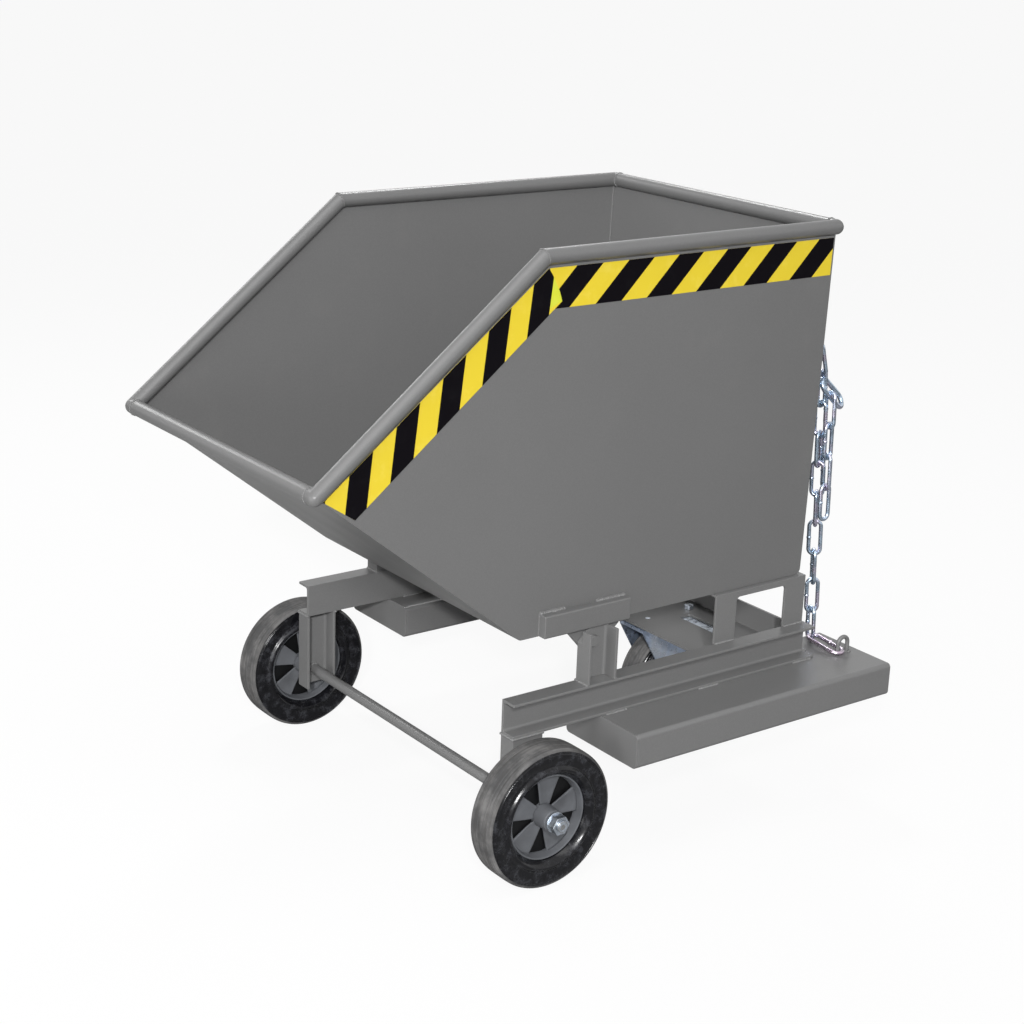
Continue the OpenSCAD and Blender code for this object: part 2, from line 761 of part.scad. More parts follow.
oval_side = [sin(oval_roll) * sin(oval_dip), cos(oval_roll), sin(oval_roll) * cos(oval_dip)];
module chain_oval() {
  color(zinc) placed() translate(oval_root + oval_half * oval_dir) rotate([0, 90 + oval_dip, 0])
    rotate([0, 0, 90 + oval_roll]) oval(oval_half, oval_rc, oval_bar / 2);
}
// The tail hangs from the ring's lower bar and lies in front of the run
tail_at = 42;
tail_lift = 12.4;
tail_lean = 3;
module chain_tail() {
  top = oval_root + tail_at * oval_dir - oval_rc * oval_side + [0, 0, tail_lift];
  color(zinc) placed() translate(top) rotate([-tail_lean, 0, 0]) for (i = [0:len(tail_turns) - 1])
    translate([0, 0, -link_half - i * link_step]) link(tail_turns[i]);
}
module quick_link() {
  tilt = asin((quick_z - quick_low) / (2 * quick_half));
  color([0.78, 0.70, 0.74]) placed() translate([chain_x, chain_y, quick_z]) rotate([90 + tilt, 0, 0])
    translate([0, 0, quick_half]) oval(quick_half, quick_rc, quick_bar / 2);
}
module chain_eye() {
  color(steel_paint) placed() translate([chain_x, chain_y - 2 * quick_half + quick_bar + chain_gap, deck_z]) {
    for (x = [0, eye_gap]) translate([x, 0, 0]) cylinder(h = eye_leg, r = eye_bar / 2, $fn = 32);
    translate([eye_gap / 2, 0, eye_leg]) rotate([90, 0, 0])
      rotate_extrude(angle = 180, $fn = 48) translate([eye_gap / 2, 0]) circle(eye_bar / 2, $fn = 32);
  }
}

left() skip_side();  // skip_side_left
skip_side();  // skip_side_right
skip_sheet();
left() rim_side();  // rim_left
rim_side();  // rim_right
rim_cross(lip_pt);  // rim_lip
rim_cross(top_pt);  // rim_rear
left() side_rail();  // side_rail_left
side_rail();  // side_rail_right
pivot_ears();
left() hazard_tape();  // hazard_tape_left
hazard_tape();  // hazard_tape_right
left() tape_stripes();  // tape_stripes_left
tape_stripes();  // tape_stripes_right
push_handle();
chain_peg();
left() channel();  // channel_left
channel();  // channel_right
left() leg();  // leg_left
leg();  // leg_right
left() post();  // post_left
post();  // post_right
pivot_pins();
left() pocket();  // pocket_left
pocket();  // pocket_right
pocket_caps();
left() portal();  // portal_left
portal();  // portal_right
cross_plate();
caster_adapter();
axle_bar();
wheel_washers();
wheel_nuts();
left() front_tyre();  // front_tyre_left
front_tyre();  // front_tyre_right
left() front_rim();  // front_rim_left
front_rim();  // front_rim_right
left() front_sleeve();  // front_sleeve_left
front_sleeve();  // front_sleeve_right
caster_plate();
swivel_race();
kingpin();
caster_bolts();
caster_fork();
caster_axle();
caster_tyre();
caster_rim();
caster_sleeve();
chain_eye();
quick_link();
chain_run();
chain_oval();
chain_tail();
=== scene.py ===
"""Looks for a tipping skip trolley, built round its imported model.

Every length is in metres, in the trolley's own frame: X runs from the lip
(minus) to the push end (plus), Y across, Z up from the floor. The left side,
at minus Y, is the side nearest the camera.
"""

import json
import logging
import math
from dataclasses import dataclass, field
from enum import Enum
from typing import Iterable, Sequence

import bmesh
import bpy
from mathutils import Matrix, Vector

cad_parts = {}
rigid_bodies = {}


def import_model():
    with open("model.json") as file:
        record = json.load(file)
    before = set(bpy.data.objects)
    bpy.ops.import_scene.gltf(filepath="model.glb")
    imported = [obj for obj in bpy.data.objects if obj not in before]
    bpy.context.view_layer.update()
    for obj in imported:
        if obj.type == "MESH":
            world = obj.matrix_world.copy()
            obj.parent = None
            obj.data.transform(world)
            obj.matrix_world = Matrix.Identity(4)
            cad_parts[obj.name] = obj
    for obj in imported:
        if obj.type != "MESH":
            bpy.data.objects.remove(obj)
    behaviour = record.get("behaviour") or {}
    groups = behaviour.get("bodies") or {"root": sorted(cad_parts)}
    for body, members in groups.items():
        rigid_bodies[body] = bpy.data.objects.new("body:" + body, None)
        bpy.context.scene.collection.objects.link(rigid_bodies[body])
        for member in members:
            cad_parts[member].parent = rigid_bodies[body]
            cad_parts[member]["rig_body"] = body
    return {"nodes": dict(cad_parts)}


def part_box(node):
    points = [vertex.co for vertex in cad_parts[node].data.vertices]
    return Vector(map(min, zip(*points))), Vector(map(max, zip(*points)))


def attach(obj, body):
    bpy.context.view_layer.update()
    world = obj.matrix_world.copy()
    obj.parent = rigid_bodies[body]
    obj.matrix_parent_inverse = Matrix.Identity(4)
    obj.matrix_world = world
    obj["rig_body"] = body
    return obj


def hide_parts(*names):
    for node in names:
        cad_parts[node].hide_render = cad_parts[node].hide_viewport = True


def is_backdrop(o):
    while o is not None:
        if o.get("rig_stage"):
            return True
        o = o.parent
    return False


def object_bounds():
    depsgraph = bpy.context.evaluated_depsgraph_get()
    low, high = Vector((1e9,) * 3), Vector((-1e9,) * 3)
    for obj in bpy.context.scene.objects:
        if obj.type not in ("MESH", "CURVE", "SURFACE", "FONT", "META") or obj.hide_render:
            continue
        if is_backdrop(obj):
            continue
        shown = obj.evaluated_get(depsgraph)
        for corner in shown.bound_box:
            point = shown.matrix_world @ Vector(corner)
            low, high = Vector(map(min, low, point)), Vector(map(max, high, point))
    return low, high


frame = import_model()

MM = 0.001
MERGE = 0.02 * MM
LOG = logging.getLogger("trolley")
CAD_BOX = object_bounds()

Pair = tuple[float, float]
Colour = tuple[float, float, float]
Place = tuple[float, float, float]
Shape = bmesh.types.BMesh
Socket = bpy.types.NodeSocket
Thing = bpy.types.Object

WHITE: Colour = (1.0, 1.0, 1.0)
ALONG_X, ALONG_Y, ALONG_Z = Vector((1, 0, 0)), Vector((0, 1, 0)), Vector((0, 0, 1))


class Finish(Enum):
    """The record's material slots that the pieces belong to."""

    SKIP_PAINT = "grey_paint"
    CHASSIS_PAINT = "chassis_paint"
    ZINC = "zinc"
    CHAIN = "chain_zinc"
    YELLOW = "tape_yellow"
    BLACK = "tape_black"
    TYRE = "tyre"
    PLASTIC = "rim_plastic"


class Side(Enum):
    """The two sides of the trolley, by the sign of Y."""

    LEFT = -1
    RIGHT = 1

    @property
    def word(self) -> str:
        """The side's name as the model's pieces use it."""
        return self.name.lower()


class TreeWriter:
    """Writes a node tree, one node at a time."""

    def __init__(self, tree: bpy.types.NodeTree) -> None:
        """Takes a tree over and empties it."""
        self.tree = tree
        tree.nodes.clear()

    def add(self, kind: str, **values: object) -> bpy.types.Node:
        """Adds a node.

        Args:
            kind: The node's type name.
            **values: Properties of the node.

        Returns:
            The new node.
        """
        node = self.tree.nodes.new(kind)
        for key, value in values.items():
            setattr(node, key, value)
        return node

    def feed(self, socket: Socket, value: object) -> None:
        """Links an output to an input, or sets a plain value on it.

        Args:
            socket: The input.
            value: An output, a number, a vector, or a colour of three shares.
        """
        if isinstance(value, Socket):
            self.tree.links.new(value, socket)
        elif socket.type == "RGBA":
            socket.default_value = (*value, 1.0)
        else:
            socket.default_value = value

    @staticmethod
    def pick(sockets: Iterable[Socket], key: int | str) -> Socket:
        """The enabled socket with a number or a name."""
        enabled = [s for s in sockets if s.enabled]
        return enabled[key] if isinstance(key, int) else next(s for s in enabled if s.name == key)

    def step(
        self,
        kind: str,
        inputs: dict[int | str, object],
        out: int | str = 0,
        **values: object,
    ) -> Socket:
        """Adds a node, feeds its inputs and returns one output.

        Args:
            kind: The node's type name.
            inputs: Values or outputs, by number or name of the enabled input.
            out: Number or name of the enabled output.
            **values: Properties of the node.

        Returns:
            The chosen output.
        """
        node = self.add(kind, **values)
        for key, value in inputs.items():
            self.feed(self.pick(node.inputs, key), value)
        return self.pick(node.outputs, out)

    def calc(self, operation: str, *numbers: object) -> Socket:
        """One step of arithmetic on numbers or value outputs."""
        return self.step("ShaderNodeMath", dict(enumerate(numbers)), operation=operation)

    def end(self, kind: str, surface: Socket) -> None:
        """Ends a shader tree with an output node."""
        self.feed(self.add(kind).inputs["Surface"], surface)


class CoatWriter(TreeWriter):
    """Writes one material with a Principled surface, on Object coordinates."""

    def __init__(self, name: str) -> None:
        """Starts an empty material.

        Args:
            name: The material's name.
        """
        self.material = bpy.data.materials.new(name)
        self.material.use_nodes = True
        super().__init__(self.material.node_tree)
        self.place = self.step("ShaderNodeTexCoord", {}, "Object")

    def centred(self, centre: Sequence[float], scale: Sequence[float] = WHITE) -> Socket:
        """Object coordinates counted from a point, stretched per axis.

        Args:
            centre: The point that becomes the origin.
            scale: Factor along each axis.

        Returns:
            The vector output.
        """
        origin = [-c * s for c, s in zip(centre, scale)]
        inputs = {"Vector": self.place, "Location": origin, "Scale": scale}
        return self.step("ShaderNodeMapping", inputs, vector_type="POINT")

    def noise(
        self,
        scale: float,
        detail: float,
        roughness: float = 0.5,
        vector: Socket | None = None,
    ) -> Socket:
        """A noise over the surface, about 0 to 1, from its waves per metre and its octaves."""
        inputs = {"Vector": vector or self.place, "Scale": scale, "Detail": detail, "Roughness": roughness}
        return self.step("ShaderNodeTexNoise", inputs, "Fac", noise_dimensions="3D")

    def remap(self, value: Socket, span: Pair, to: Pair = (0.0, 1.0)) -> Socket:
        """Maps a span of a value smoothly to another one."""
        inputs = {"Value": value, "From Min": span[0], "From Max": span[1], "To Min": to[0], "To Max": to[1]}
        return self.step("ShaderNodeMapRange", inputs, interpolation_type="SMOOTHSTEP", clamp=True)

    def patches(
        self,
        scale: float,
        detail: float,
        span: Pair = (0.3, 0.7),
        to: Pair = (0.0, 1.0),
        roughness: float = 0.5,
    ) -> Socket:
        """Soft patches: a noise whose span becomes the values outside and inside them."""
        return self.remap(self.noise(scale, detail, roughness), span, to)

    def mix(self, amount: object, first: object, second: object) -> Socket:
        """Mixes two colours by the share of the second one."""
        return self.step("ShaderNodeMix", {0: amount, 1: first, 2: second}, data_type="RGBA")

    def finished(self, bumps: Iterable[tuple[Socket, float]], **surface: object) -> bpy.types.Material:
        """Ends the material.

        Args:
            bumps: Pairs of a height output, about 0 to 1, and its depth in metres.
            **surface: Inputs of the surface, with underscores for spaces.

        Returns:
            The material.
        """
        inputs = {key.replace("_", " "): value for key, value in surface.items()}
        for height, depth in bumps:
            bump = {"Strength": 1.0, "Distance": depth, "Height": height}
            if "Normal" in inputs:
                bump["Normal"] = inputs["Normal"]
            inputs["Normal"] = self.step("ShaderNodeBump", bump)
        self.end("ShaderNodeOutputMaterial", self.step("ShaderNodeBsdfPrincipled", inputs))
        return self.material


def grey(level: float, tint: Sequence[float] = WHITE) -> Colour:
    """A colour of one brightness with a slight tint."""
    return tuple(level * t for t in tint)


MATERIALS: dict[str, bpy.types.Material] = {}


@dataclass(frozen=True)
class Coating:
    """A finish: its material's name and the record's slot that it belongs to."""

    name: str
    finish: Finish

    def material(self) -> bpy.types.Material:
        """Writes the material when it is first asked for.

        Returns:
            The material.
        """
        if self.name not in MATERIALS:
            MATERIALS[self.name] = self.write(CoatWriter(self.name))
        return MATERIALS[self.name]

    def write(self, s: CoatWriter) -> bpy.types.Material:
        """Writes the material, in each finish's own way."""
        raise NotImplementedError


@dataclass(frozen=True)
class PowderCoat(Coating):
    """Satin grey powder coat with a fine orange-peel grain and faint dust."""

    level: float
    wave_depth: float = 0.3 * MM
    grain_depth: float = 0.03 * MM
    rough: Pair = (0.31, 0.36)
    sheen: float = 0.36
    dust_share: float = 0.35
    dust_tint: Colour = (1.0, 0.99, 0.97)

    def write(self, s: CoatWriter) -> bpy.types.Material:
        """Writes the material.

        Args:
            s: The writer to use.

        Returns:
            The material.
        """
        level = self.level
        cloud = s.patches(scale=3.1, detail=3.0)
        speckle = s.patches(scale=620.0, detail=1.0, span=(0.35, 0.65))
        dust = s.patches(scale=11.0, detail=6.0, span=(0.55, 0.8), to=(0.0, self.dust_share), roughness=0.65)
        broad = s.mix(cloud, grey(level * 0.96), grey(level * 1.03))
        fine = s.mix(speckle, grey(level * 0.93), grey(level * 1.07))
        waves, grain = s.noise(scale=4.0, detail=1.0), s.noise(scale=480.0, detail=2.0)
        return s.finished(
            ((waves, self.wave_depth), (grain, self.grain_depth)),
            Base_Color=s.mix(dust, s.mix(0.5, broad, fine), grey(level * 1.16, self.dust_tint)),
            Roughness=s.patches(scale=7.0, detail=2.0, span=(0.25, 0.75), to=self.rough),
            Specular_IOR_Level=self.sheen,
        )


@dataclass(frozen=True)
class ZincPlate(Coating):
    """Bright zinc with soft blotches and, on a chain, a blue and pink sheen."""

    level: float
    shade: Colour
    blush: Colour
    patch_scale: float = 45.0
    dull: float = 0.42
    bright: float = 0.24
    metal_share: float = 0.92
    blush_origin: Place = (0.3, 0.7, 0.1)

    def write(self, s: CoatWriter) -> bpy.types.Material:
        """Writes the material.

        Args:
            s: The writer to use.

        Returns:
            The material.
        """
        blotch = s.patches(self.patch_scale, detail=3.0, span=(0.36, 0.64))
        apart = s.centred(self.blush_origin)
        cast = s.remap(s.noise(self.patch_scale * 0.6, detail=2.0, vector=apart), span=(0.45, 0.65))
        metal = s.mix(blotch, grey(self.level * 0.74, self.shade), grey(self.level * 1.12, self.shade))
        grain, waves = s.noise(scale=900.0, detail=2.0), s.noise(scale=60.0, detail=2.0)
        return s.finished(
            ((grain, 0.02 * MM), (waves, 0.08 * MM)),
            Base_Color=s.mix(cast, metal, grey(self.level, self.blush)),
            Metallic=self.metal_share,
            Roughness=s.patches(scale=120.0, detail=4.0, to=(self.bright, self.dull)),
        )


@dataclass(frozen=True)
class SolidRubber(Coating):
    """Shiny black tyre walls and a scuffed, dusty running surface."""

    centre: Vector
    radius: float
    tread_depth: float = 5.5 * MM
    blend: float = 1.2 * MM
    streak_scale: Place = (9.0, 210.0, 9.0)
    worn: Colour = grey(0.085, (0.98, 0.98, 1.0))
    chalked: Colour = grey(0.21, (1.0, 0.98, 0.97))
    streaked: Colour = grey(0.05, (1.0, 0.96, 0.92))
    wall_black: Colour = grey(0.006, (0.95, 0.96, 1.2))
    wall_dusty: Colour = grey(0.05, (0.95, 0.98, 1.14))

    def write(self, s: CoatWriter) -> bpy.types.Material:
        """Writes the material.

        Args:
            s: The writer to use.

        Returns:
            The material.
        """
        across = {0: s.centred(self.centre), 1: (1, 0, 1)}
        flat = s.step("ShaderNodeVectorMath", across, operation="MULTIPLY")
        reach = s.step("ShaderNodeVectorMath", {0: flat}, operation="LENGTH")
        edge = self.radius - self.tread_depth
        tread = s.remap(reach, (edge - self.blend, edge + self.blend))
        rings = s.centred(self.centre, self.streak_scale)
        streak = s.remap(s.noise(1.0, 5.0, 0.65, rings), span=(0.36, 0.64))
        chalk = s.patches(scale=26.0, detail=5.0, span=(0.35, 0.7), to=(0.0, 0.8), roughness=0.6)
        blotch = s.patches(scale=55.0, detail=5.0, span=(0.45, 0.72), roughness=0.68)
        lined = s.mix(s.calc("MULTIPLY", streak, 0.55), s.mix(chalk, self.worn, self.chalked), self.streaked)
        wall = s.mix(s.calc("MULTIPLY", blotch, 0.7), self.wall_black, self.wall_dusty)
        tread_rough = s.remap(tread, (0, 1), (0.0, 0.7))
        wall_rough = s.remap(blotch, (0, 1), (0.2, 0.4))
        grain, waves = s.noise(scale=300.0, detail=3.0), s.noise(scale=45.0, detail=2.0)
        return s.finished(
            ((grain, 0.05 * MM), (waves, 0.25 * MM)),
            Base_Color=s.mix(tread, wall, lined),
            Roughness=s.calc("MAXIMUM", tread_rough, wall_rough),
            Specular_IOR_Level=s.remap(tread, (0, 1), (0.34, 0.12)),
        )


@dataclass(frozen=True)
class MouldedPlastic(Coating):
    """Blue-grey moulded plastic with a faint grain."""

    level: float
    tint: Colour = (0.94, 0.98, 1.06)
    rough: Pair = (0.38, 0.52)
    sheen: float = 0.2

    def write(self, s: CoatWriter) -> bpy.types.Material:
        """Writes the material.

        Args:
            s: The writer to use.

        Returns:
            The material.
        """
        cloud = s.patches(scale=30.0, detail=4.0)
        grain, waves = s.noise(scale=700.0, detail=2.0), s.noise(scale=40.0, detail=2.0)
        return s.finished(
            ((grain, 0.03 * MM), (waves, 0.12 * MM)),
            Base_Color=s.mix(cloud, grey(self.level * 0.88, self.tint), grey(self.level * 1.12, self.tint)),
            Roughness=s.patches(scale=90.0, detail=3.0, to=self.rough),
            Specular_IOR_Level=self.sheen,
        )


@dataclass(frozen=True)
class TapeFilm(Coating):
    """Smooth adhesive film with slight wrinkles and rubbed patches."""

    colour: Colour
    rubbed: Colour
    sheen: float = 0.3
    rough: Pair = (0.32, 0.46)

    def write(self, s: CoatWriter) -> bpy.types.Material:
        """Writes the material.

        Args:
            s: The writer to use.

        Returns:
            The material.
        """
        rub = s.patches(scale=38.0, detail=5.0, span=(0.5, 0.8), to=(0.0, 0.6), roughness=0.6)
        wrinkles, grain = s.noise(scale=26.0, detail=2.0), s.noise(scale=520.0, detail=1.0)
        return s.finished(
            ((wrinkles, 0.12 * MM), (grain, 0.02 * MM)),
            Base_Color=s.mix(rub, self.colour, self.rubbed),
            Roughness=s.patches(scale=55.0, detail=3.0, to=self.rough),
            Specular_IOR_Level=self.sheen,
        )


SKIP_COAT = PowderCoat("Skip coat", Finish.SKIP_PAINT, 0.147)
CHASSIS_COAT = PowderCoat("Chassis coat", Finish.CHASSIS_PAINT, 0.166, wave_depth=0.25 * MM)
BRIGHT_ZINC = ZincPlate("Bright zinc", Finish.ZINC, 0.55, (0.9, 0.98, 1.1), (0.92, 1.0, 1.08))
BLUE_ZINC = ZincPlate("Blue zinc", Finish.ZINC, 0.62, (0.78, 0.92, 1.18), (0.9, 0.98, 1.1), 30.0, 0.55)
CHAIN_ZINC = ZincPlate("Chain zinc", Finish.CHAIN, 0.62, (0.76, 0.93, 1.12), (0.9, 0.84, 1.02), 60.0, 0.3)
PINK_ZINC = ZincPlate("Pink zinc", Finish.CHAIN, 0.6, (1.0, 0.9, 1.03), (0.98, 0.8, 0.97), 60.0, 0.3)
RIM_PLASTIC = MouldedPlastic("Rim plastic", Finish.PLASTIC, 0.125)
# Near-black plastic for the web disc behind the panel gaps: painted shade, so the shallow gaps look like
# deep shadowed holes.
PAINTED_SHADE_WEB = MouldedPlastic("Dark web", Finish.PLASTIC, 0.006)
YELLOW_FILM = TapeFilm("Yellow film", Finish.YELLOW, (0.71, 0.545, 0.034), (0.78, 0.63, 0.09))
GREEN_FILM = TapeFilm("Fresh yellow film", Finish.YELLOW, (0.6, 0.63, 0.04), (0.66, 0.68, 0.1))
BLACK_FILM = TapeFilm("Black film", Finish.BLACK, (0.0055, 0.0048, 0.0062), (0.009, 0.0085, 0.01), 0.015)


def scene_object(name: str, data: bpy.types.ID) -> Thing:
    """Makes an object and puts it into the scene.

    Args:
        name: The object's name.
        data: Its mesh, camera or light.

    Returns:
        The new object.
    """
    thing = bpy.data.objects.new(name, data)
    bpy.context.scene.collection.objects.link(thing)
    return thing


def mesh_object(name: str, shape: Shape) -> Thing:
    """Turns a shape in the trolley's frame into an object of the scene.

    Args:
        name: The object's name.
        shape: The geometry, which is freed.

    Returns:
        The new object.
    """
    mesh = bpy.data.meshes.new(name)
    shape.to_mesh(mesh)
    shape.free()
    return scene_object(name, mesh)


def settle(piece: Thing) -> Thing:
    """Turns a piece and its modifiers into a plain mesh.

    Args:
        piece: The object with live modifiers.

    Returns:
        The same object, with the result as its mesh.
    """
    graph = bpy.context.evaluated_depsgraph_get()
    graph.update()
    mesh = bpy.data.meshes.new_from_object(piece.evaluated_get(graph), depsgraph=graph)
    piece.modifiers.clear()
    piece.data = mesh
    return piece


def fit_out(piece: Thing, body: str, coat: Coating, stands_for: Sequence[str] = ()) -> None:
    """Gives a piece its finish, its body and the nodes that it stands for.

    Args:
        piece: The finished mesh object.
        body: The body that it moves with.
        coat: Its finish.
        stands_for: Nodes that it replaces.
    """
    piece.data.materials.clear()
    piece.data.materials.append(coat.material())
    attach(piece, body)
    if stands_for:
        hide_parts(*stands_for)
    LOG.info("%s: %d faces on %s", piece.name, len(piece.data.polygons), body)


def body_of(node: str) -> str:
    """The body that a node belongs to."""
    return frame["nodes"][node]["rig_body"]


def middle_of(node: str) -> Vector:
    """The middle of a node's box."""
    low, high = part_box(node)
    return (low + high) / 2


class GrowTree(TreeWriter):
    """Writes one Geometry Nodes tree with named inputs."""

    KINDS = {int: "NodeSocketInt", float: "NodeSocketFloat", tuple: "NodeSocketVector"}

    def __init__(self, name: str, inputs: dict[str, object]) -> None:
        """Starts the tree, with an input for the material after the given ones.

        Args:
            name: The tree's name.
            inputs: Names of the inputs with their values.
        """
        super().__init__(bpy.data.node_groups.new(name, "GeometryNodeTree"))
        face = self.tree.interface
        for way in ("INPUT", "OUTPUT"):
            face.new_socket("Geometry", in_out=way, socket_type="NodeSocketGeometry")
        self.ids: dict[str, str] = {}
        for label, value in inputs.items():
            socket = face.new_socket(label, in_out="INPUT", socket_type=self.KINDS[type(value)])
            socket.default_value = value
            self.ids[label] = socket.identifier
        socket = face.new_socket("Material", in_out="INPUT", socket_type="NodeSocketMaterial")
        self.ids["Material"] = socket.identifier
        self.source = self.add("NodeGroupInput")

    def given(self, label: str) -> Socket:
        """The output of a named input."""
        return self.source.outputs[label]

    def spread(self, points: Socket, piece: Socket, turn: Socket, **more: Socket) -> Socket:
        """Copies of a piece on points, each with its turn."""
        inputs = {"Points": points, "Instance": piece, "Rotation": turn, **more}
        return self.step("GeometryNodeInstanceOnPoints", inputs)

    def finish(self, instances: Socket) -> None:
        """Ends the tree: realized, smooth and with its material.

        Args:
            instances: The geometry to end with.
        """
        real = self.step("GeometryNodeRealizeInstances", {"Geometry": instances})
        smooth = self.step("GeometryNodeSetShadeSmooth", {"Geometry": real})
        coated = {"Geometry": smooth, "Material": self.given("Material")}
        done = self.step("GeometryNodeSetMaterial", coated)
        self.feed(self.add("NodeGroupOutput").inputs["Geometry"], done)

    def grow(self, piece: Thing, coat: Coating, **values: object) -> None:
        """Runs the tree on a piece and makes the result a plain mesh.

        Args:
            piece: The object that carries the input mesh.
            coat: The finish of the result.
            **values: Input values, with underscores for spaces.
        """
        modifier = piece.modifiers.new(self.tree.name, "NODES")
        modifier.node_group = self.tree
        for key, value in {**values, "Material": coat.material()}.items():
            modifier[self.ids[key.replace("_", " ")]] = value
        settle(piece)


def bead_tree() -> GrowTree:
    """A weld bead: overlapping ripples along every edge of the input mesh.

    Returns:
        The tree.
    """
    t = GrowTree("Weld bead", {"Pitch": 2.2 * MM, "Width": 4.5 * MM, "Height": 2.2 * MM, "Seed": 7})
    overlap, sizes = 0.95, {"Min": 0.82, "Max": 1.12}
    curve = t.step("GeometryNodeMeshToCurve", {"Mesh": t.given("Geometry")})
    points = t.step("GeometryNodeResampleCurve", {"Curve": curve, "Length": t.given("Pitch")}, mode="LENGTH")
    ripple = t.step("GeometryNodeMeshUVSphere", {"Segments": 8, "Rings": 5, "Radius": 1.0})
    along = t.step("GeometryNodeInputTangent", {})
    turn = t.step("FunctionNodeAlignRotationToVector", {"Vector": along}, axis="X")
    length = t.calc("MULTIPLY", t.given("Pitch"), overlap)
    half = t.calc("MULTIPLY", t.given("Width"), 0.5)
    size = t.step("ShaderNodeCombineXYZ", {"X": length, "Y": half, "Z": t.given("Height")})
    jitter = t.step("FunctionNodeRandomValue", {**sizes, "Seed": t.given("Seed")}, data_type="FLOAT")
    scaled = t.step("ShaderNodeVectorMath", {"Vector": size, "Scale": jitter}, operation="SCALE")
    t.finish(t.spread(points, ripple, turn, Scale=scaled))
    return t


def link_tree() -> GrowTree:
    """Chain links: a bent round bar with a weld nub, turned as each point says.

    Returns:
        The tree.
    """
    sizes = {
        "Bar Radius": 3.75 * MM,
        "Length": 61.5 * MM,
        "Width": 21.5 * MM,
        "End Radius": 10.7 * MM,
        "Nub": 1.22,
    }
    t = GrowTree("Chain link", sizes)
    outline = {"Width": t.given("Width"), "Height": t.given("Length")}
    oblong = t.step("GeometryNodeCurvePrimitiveQuadrilateral", outline, mode="RECTANGLE")
    bend = {"Curve": oblong, "Radius": t.given("End Radius"), "Count": 9}
    rounded = t.step("GeometryNodeFilletCurve", bend, mode="POLY")
    circle = {"Resolution": 14, "Radius": t.given("Bar Radius")}
    section = t.step("GeometryNodeCurvePrimitiveCircle", circle, mode="RADIUS")
    bar = t.step("GeometryNodeCurveToMesh", {"Curve": rounded, "Profile Curve": section})
    thick = t.calc("MULTIPLY", t.given("Bar Radius"), t.given("Nub"))
    nub = t.step("GeometryNodeMeshUVSphere", {"Segments": 12, "Rings": 8, "Radius": thick})
    spot = t.step("ShaderNodeCombineXYZ", {"X": t.calc("MULTIPLY", t.given("Width"), 0.5)})
    seated = t.step("GeometryNodeTransform", {"Geometry": nub, "Translation": spot})
    whole = t.add("GeometryNodeJoinGeometry")
    for part in (bar, seated):
        t.feed(whole.inputs[0], part)
    euler = t.step("GeometryNodeInputNamedAttribute", {"Name": "turn"}, data_type="FLOAT_VECTOR")
    turn = t.step("FunctionNodeEulerToRotation", {"Euler": euler})
    t.finish(t.spread(t.given("Geometry"), whole.outputs[0], turn))
    return t


def radial_tree() -> GrowTree:
    """Repeats the input mesh round the Y axis and moves the set to a centre.

    Returns:
        The tree.
    """
    sizes = {"Count": 5, "Step": math.tau / 5, "Start": 0.0, "Centre": (0.0, 0.0, 0.0)}
    t = GrowTree("Radial repeat", sizes)
    spots = t.step("GeometryNodePoints", {"Count": t.given("Count")})
    index = t.step("GeometryNodeInputIndex", {})
    angle = t.calc("MULTIPLY_ADD", index, t.given("Step"), t.given("Start"))
    euler = t.step("ShaderNodeCombineXYZ", {"Y": angle})
    turn = t.step("FunctionNodeEulerToRotation", {"Euler": euler})
    moved = {"Geometry": t.spread(spots, t.given("Geometry"), turn), "Translation": t.given("Centre")}
    t.finish(t.step("GeometryNodeTransform", moved))
    return t


@dataclass
class RoundedSteel:
    """Pieces of the model shown with slightly rounded, light-catching edges."""

    edge_radius: float = 0.9 * MM
    edge_steps: int = 2
    corner_angle: float = math.radians(34)
    flat_angle: float = math.radians(0.5)

    def copy(self, node: str, radius: float) -> Thing:
        """Copies a node's mesh and rounds its edges.

        Args:
            node: The node to copy.
            radius: Radius of the rounding.

        Returns:
            The rounded copy.
        """
        shape = bmesh.new()
        shape.from_mesh(frame["nodes"][node].data)
        bmesh.ops.remove_doubles(shape, verts=shape.verts, dist=MERGE)
        bmesh.ops.dissolve_limit(
            shape,
            angle_limit=self.flat_angle,
            verts=shape.verts,
            edges=shape.edges,
            use_dissolve_boundaries=False,
        )
        for face in shape.faces:
            face.smooth = True
        piece = mesh_object(f"dressed_{node}", shape)
        bevel = piece.modifiers.new("Edges", "BEVEL")
        bevel.limit_method = "ANGLE"
        bevel.angle_limit = self.corner_angle
        bevel.width = radius
        bevel.segments = self.edge_steps
        bevel.use_clamp_overlap = False
        bevel.miter_outer = "MITER_ARC"
        weigh = piece.modifiers.new("Normals", "WEIGHTED_NORMAL")
        weigh.mode = "FACE_AREA"
        weigh.keep_sharp = True
        return settle(piece)

    def dress(self, nodes: Iterable[str], coat: Coating, radius: float | None = None) -> None:
        """Replaces nodes by rounded copies.

        Args:
            nodes: The nodes to replace.
            coat: Their finish.
            radius: Radius of the rounding, or None for the usual one.
        """
        for node in nodes:
            piece = self.copy(node, self.edge_radius if radius is None else radius)
            fit_out(piece, body_of(node), coat, [node])


def paint_nodes(nodes: Iterable[str], coat: Coating) -> None:
    """Gives nodes that are shown as they are their material.

    Args:
        nodes: The nodes to paint.
        coat: Their finish.
    """
    for node in nodes:
        for place in frame["nodes"][node].material_slots:
            place.material = coat.material()
        LOG.info("%s: painted as it is", node)


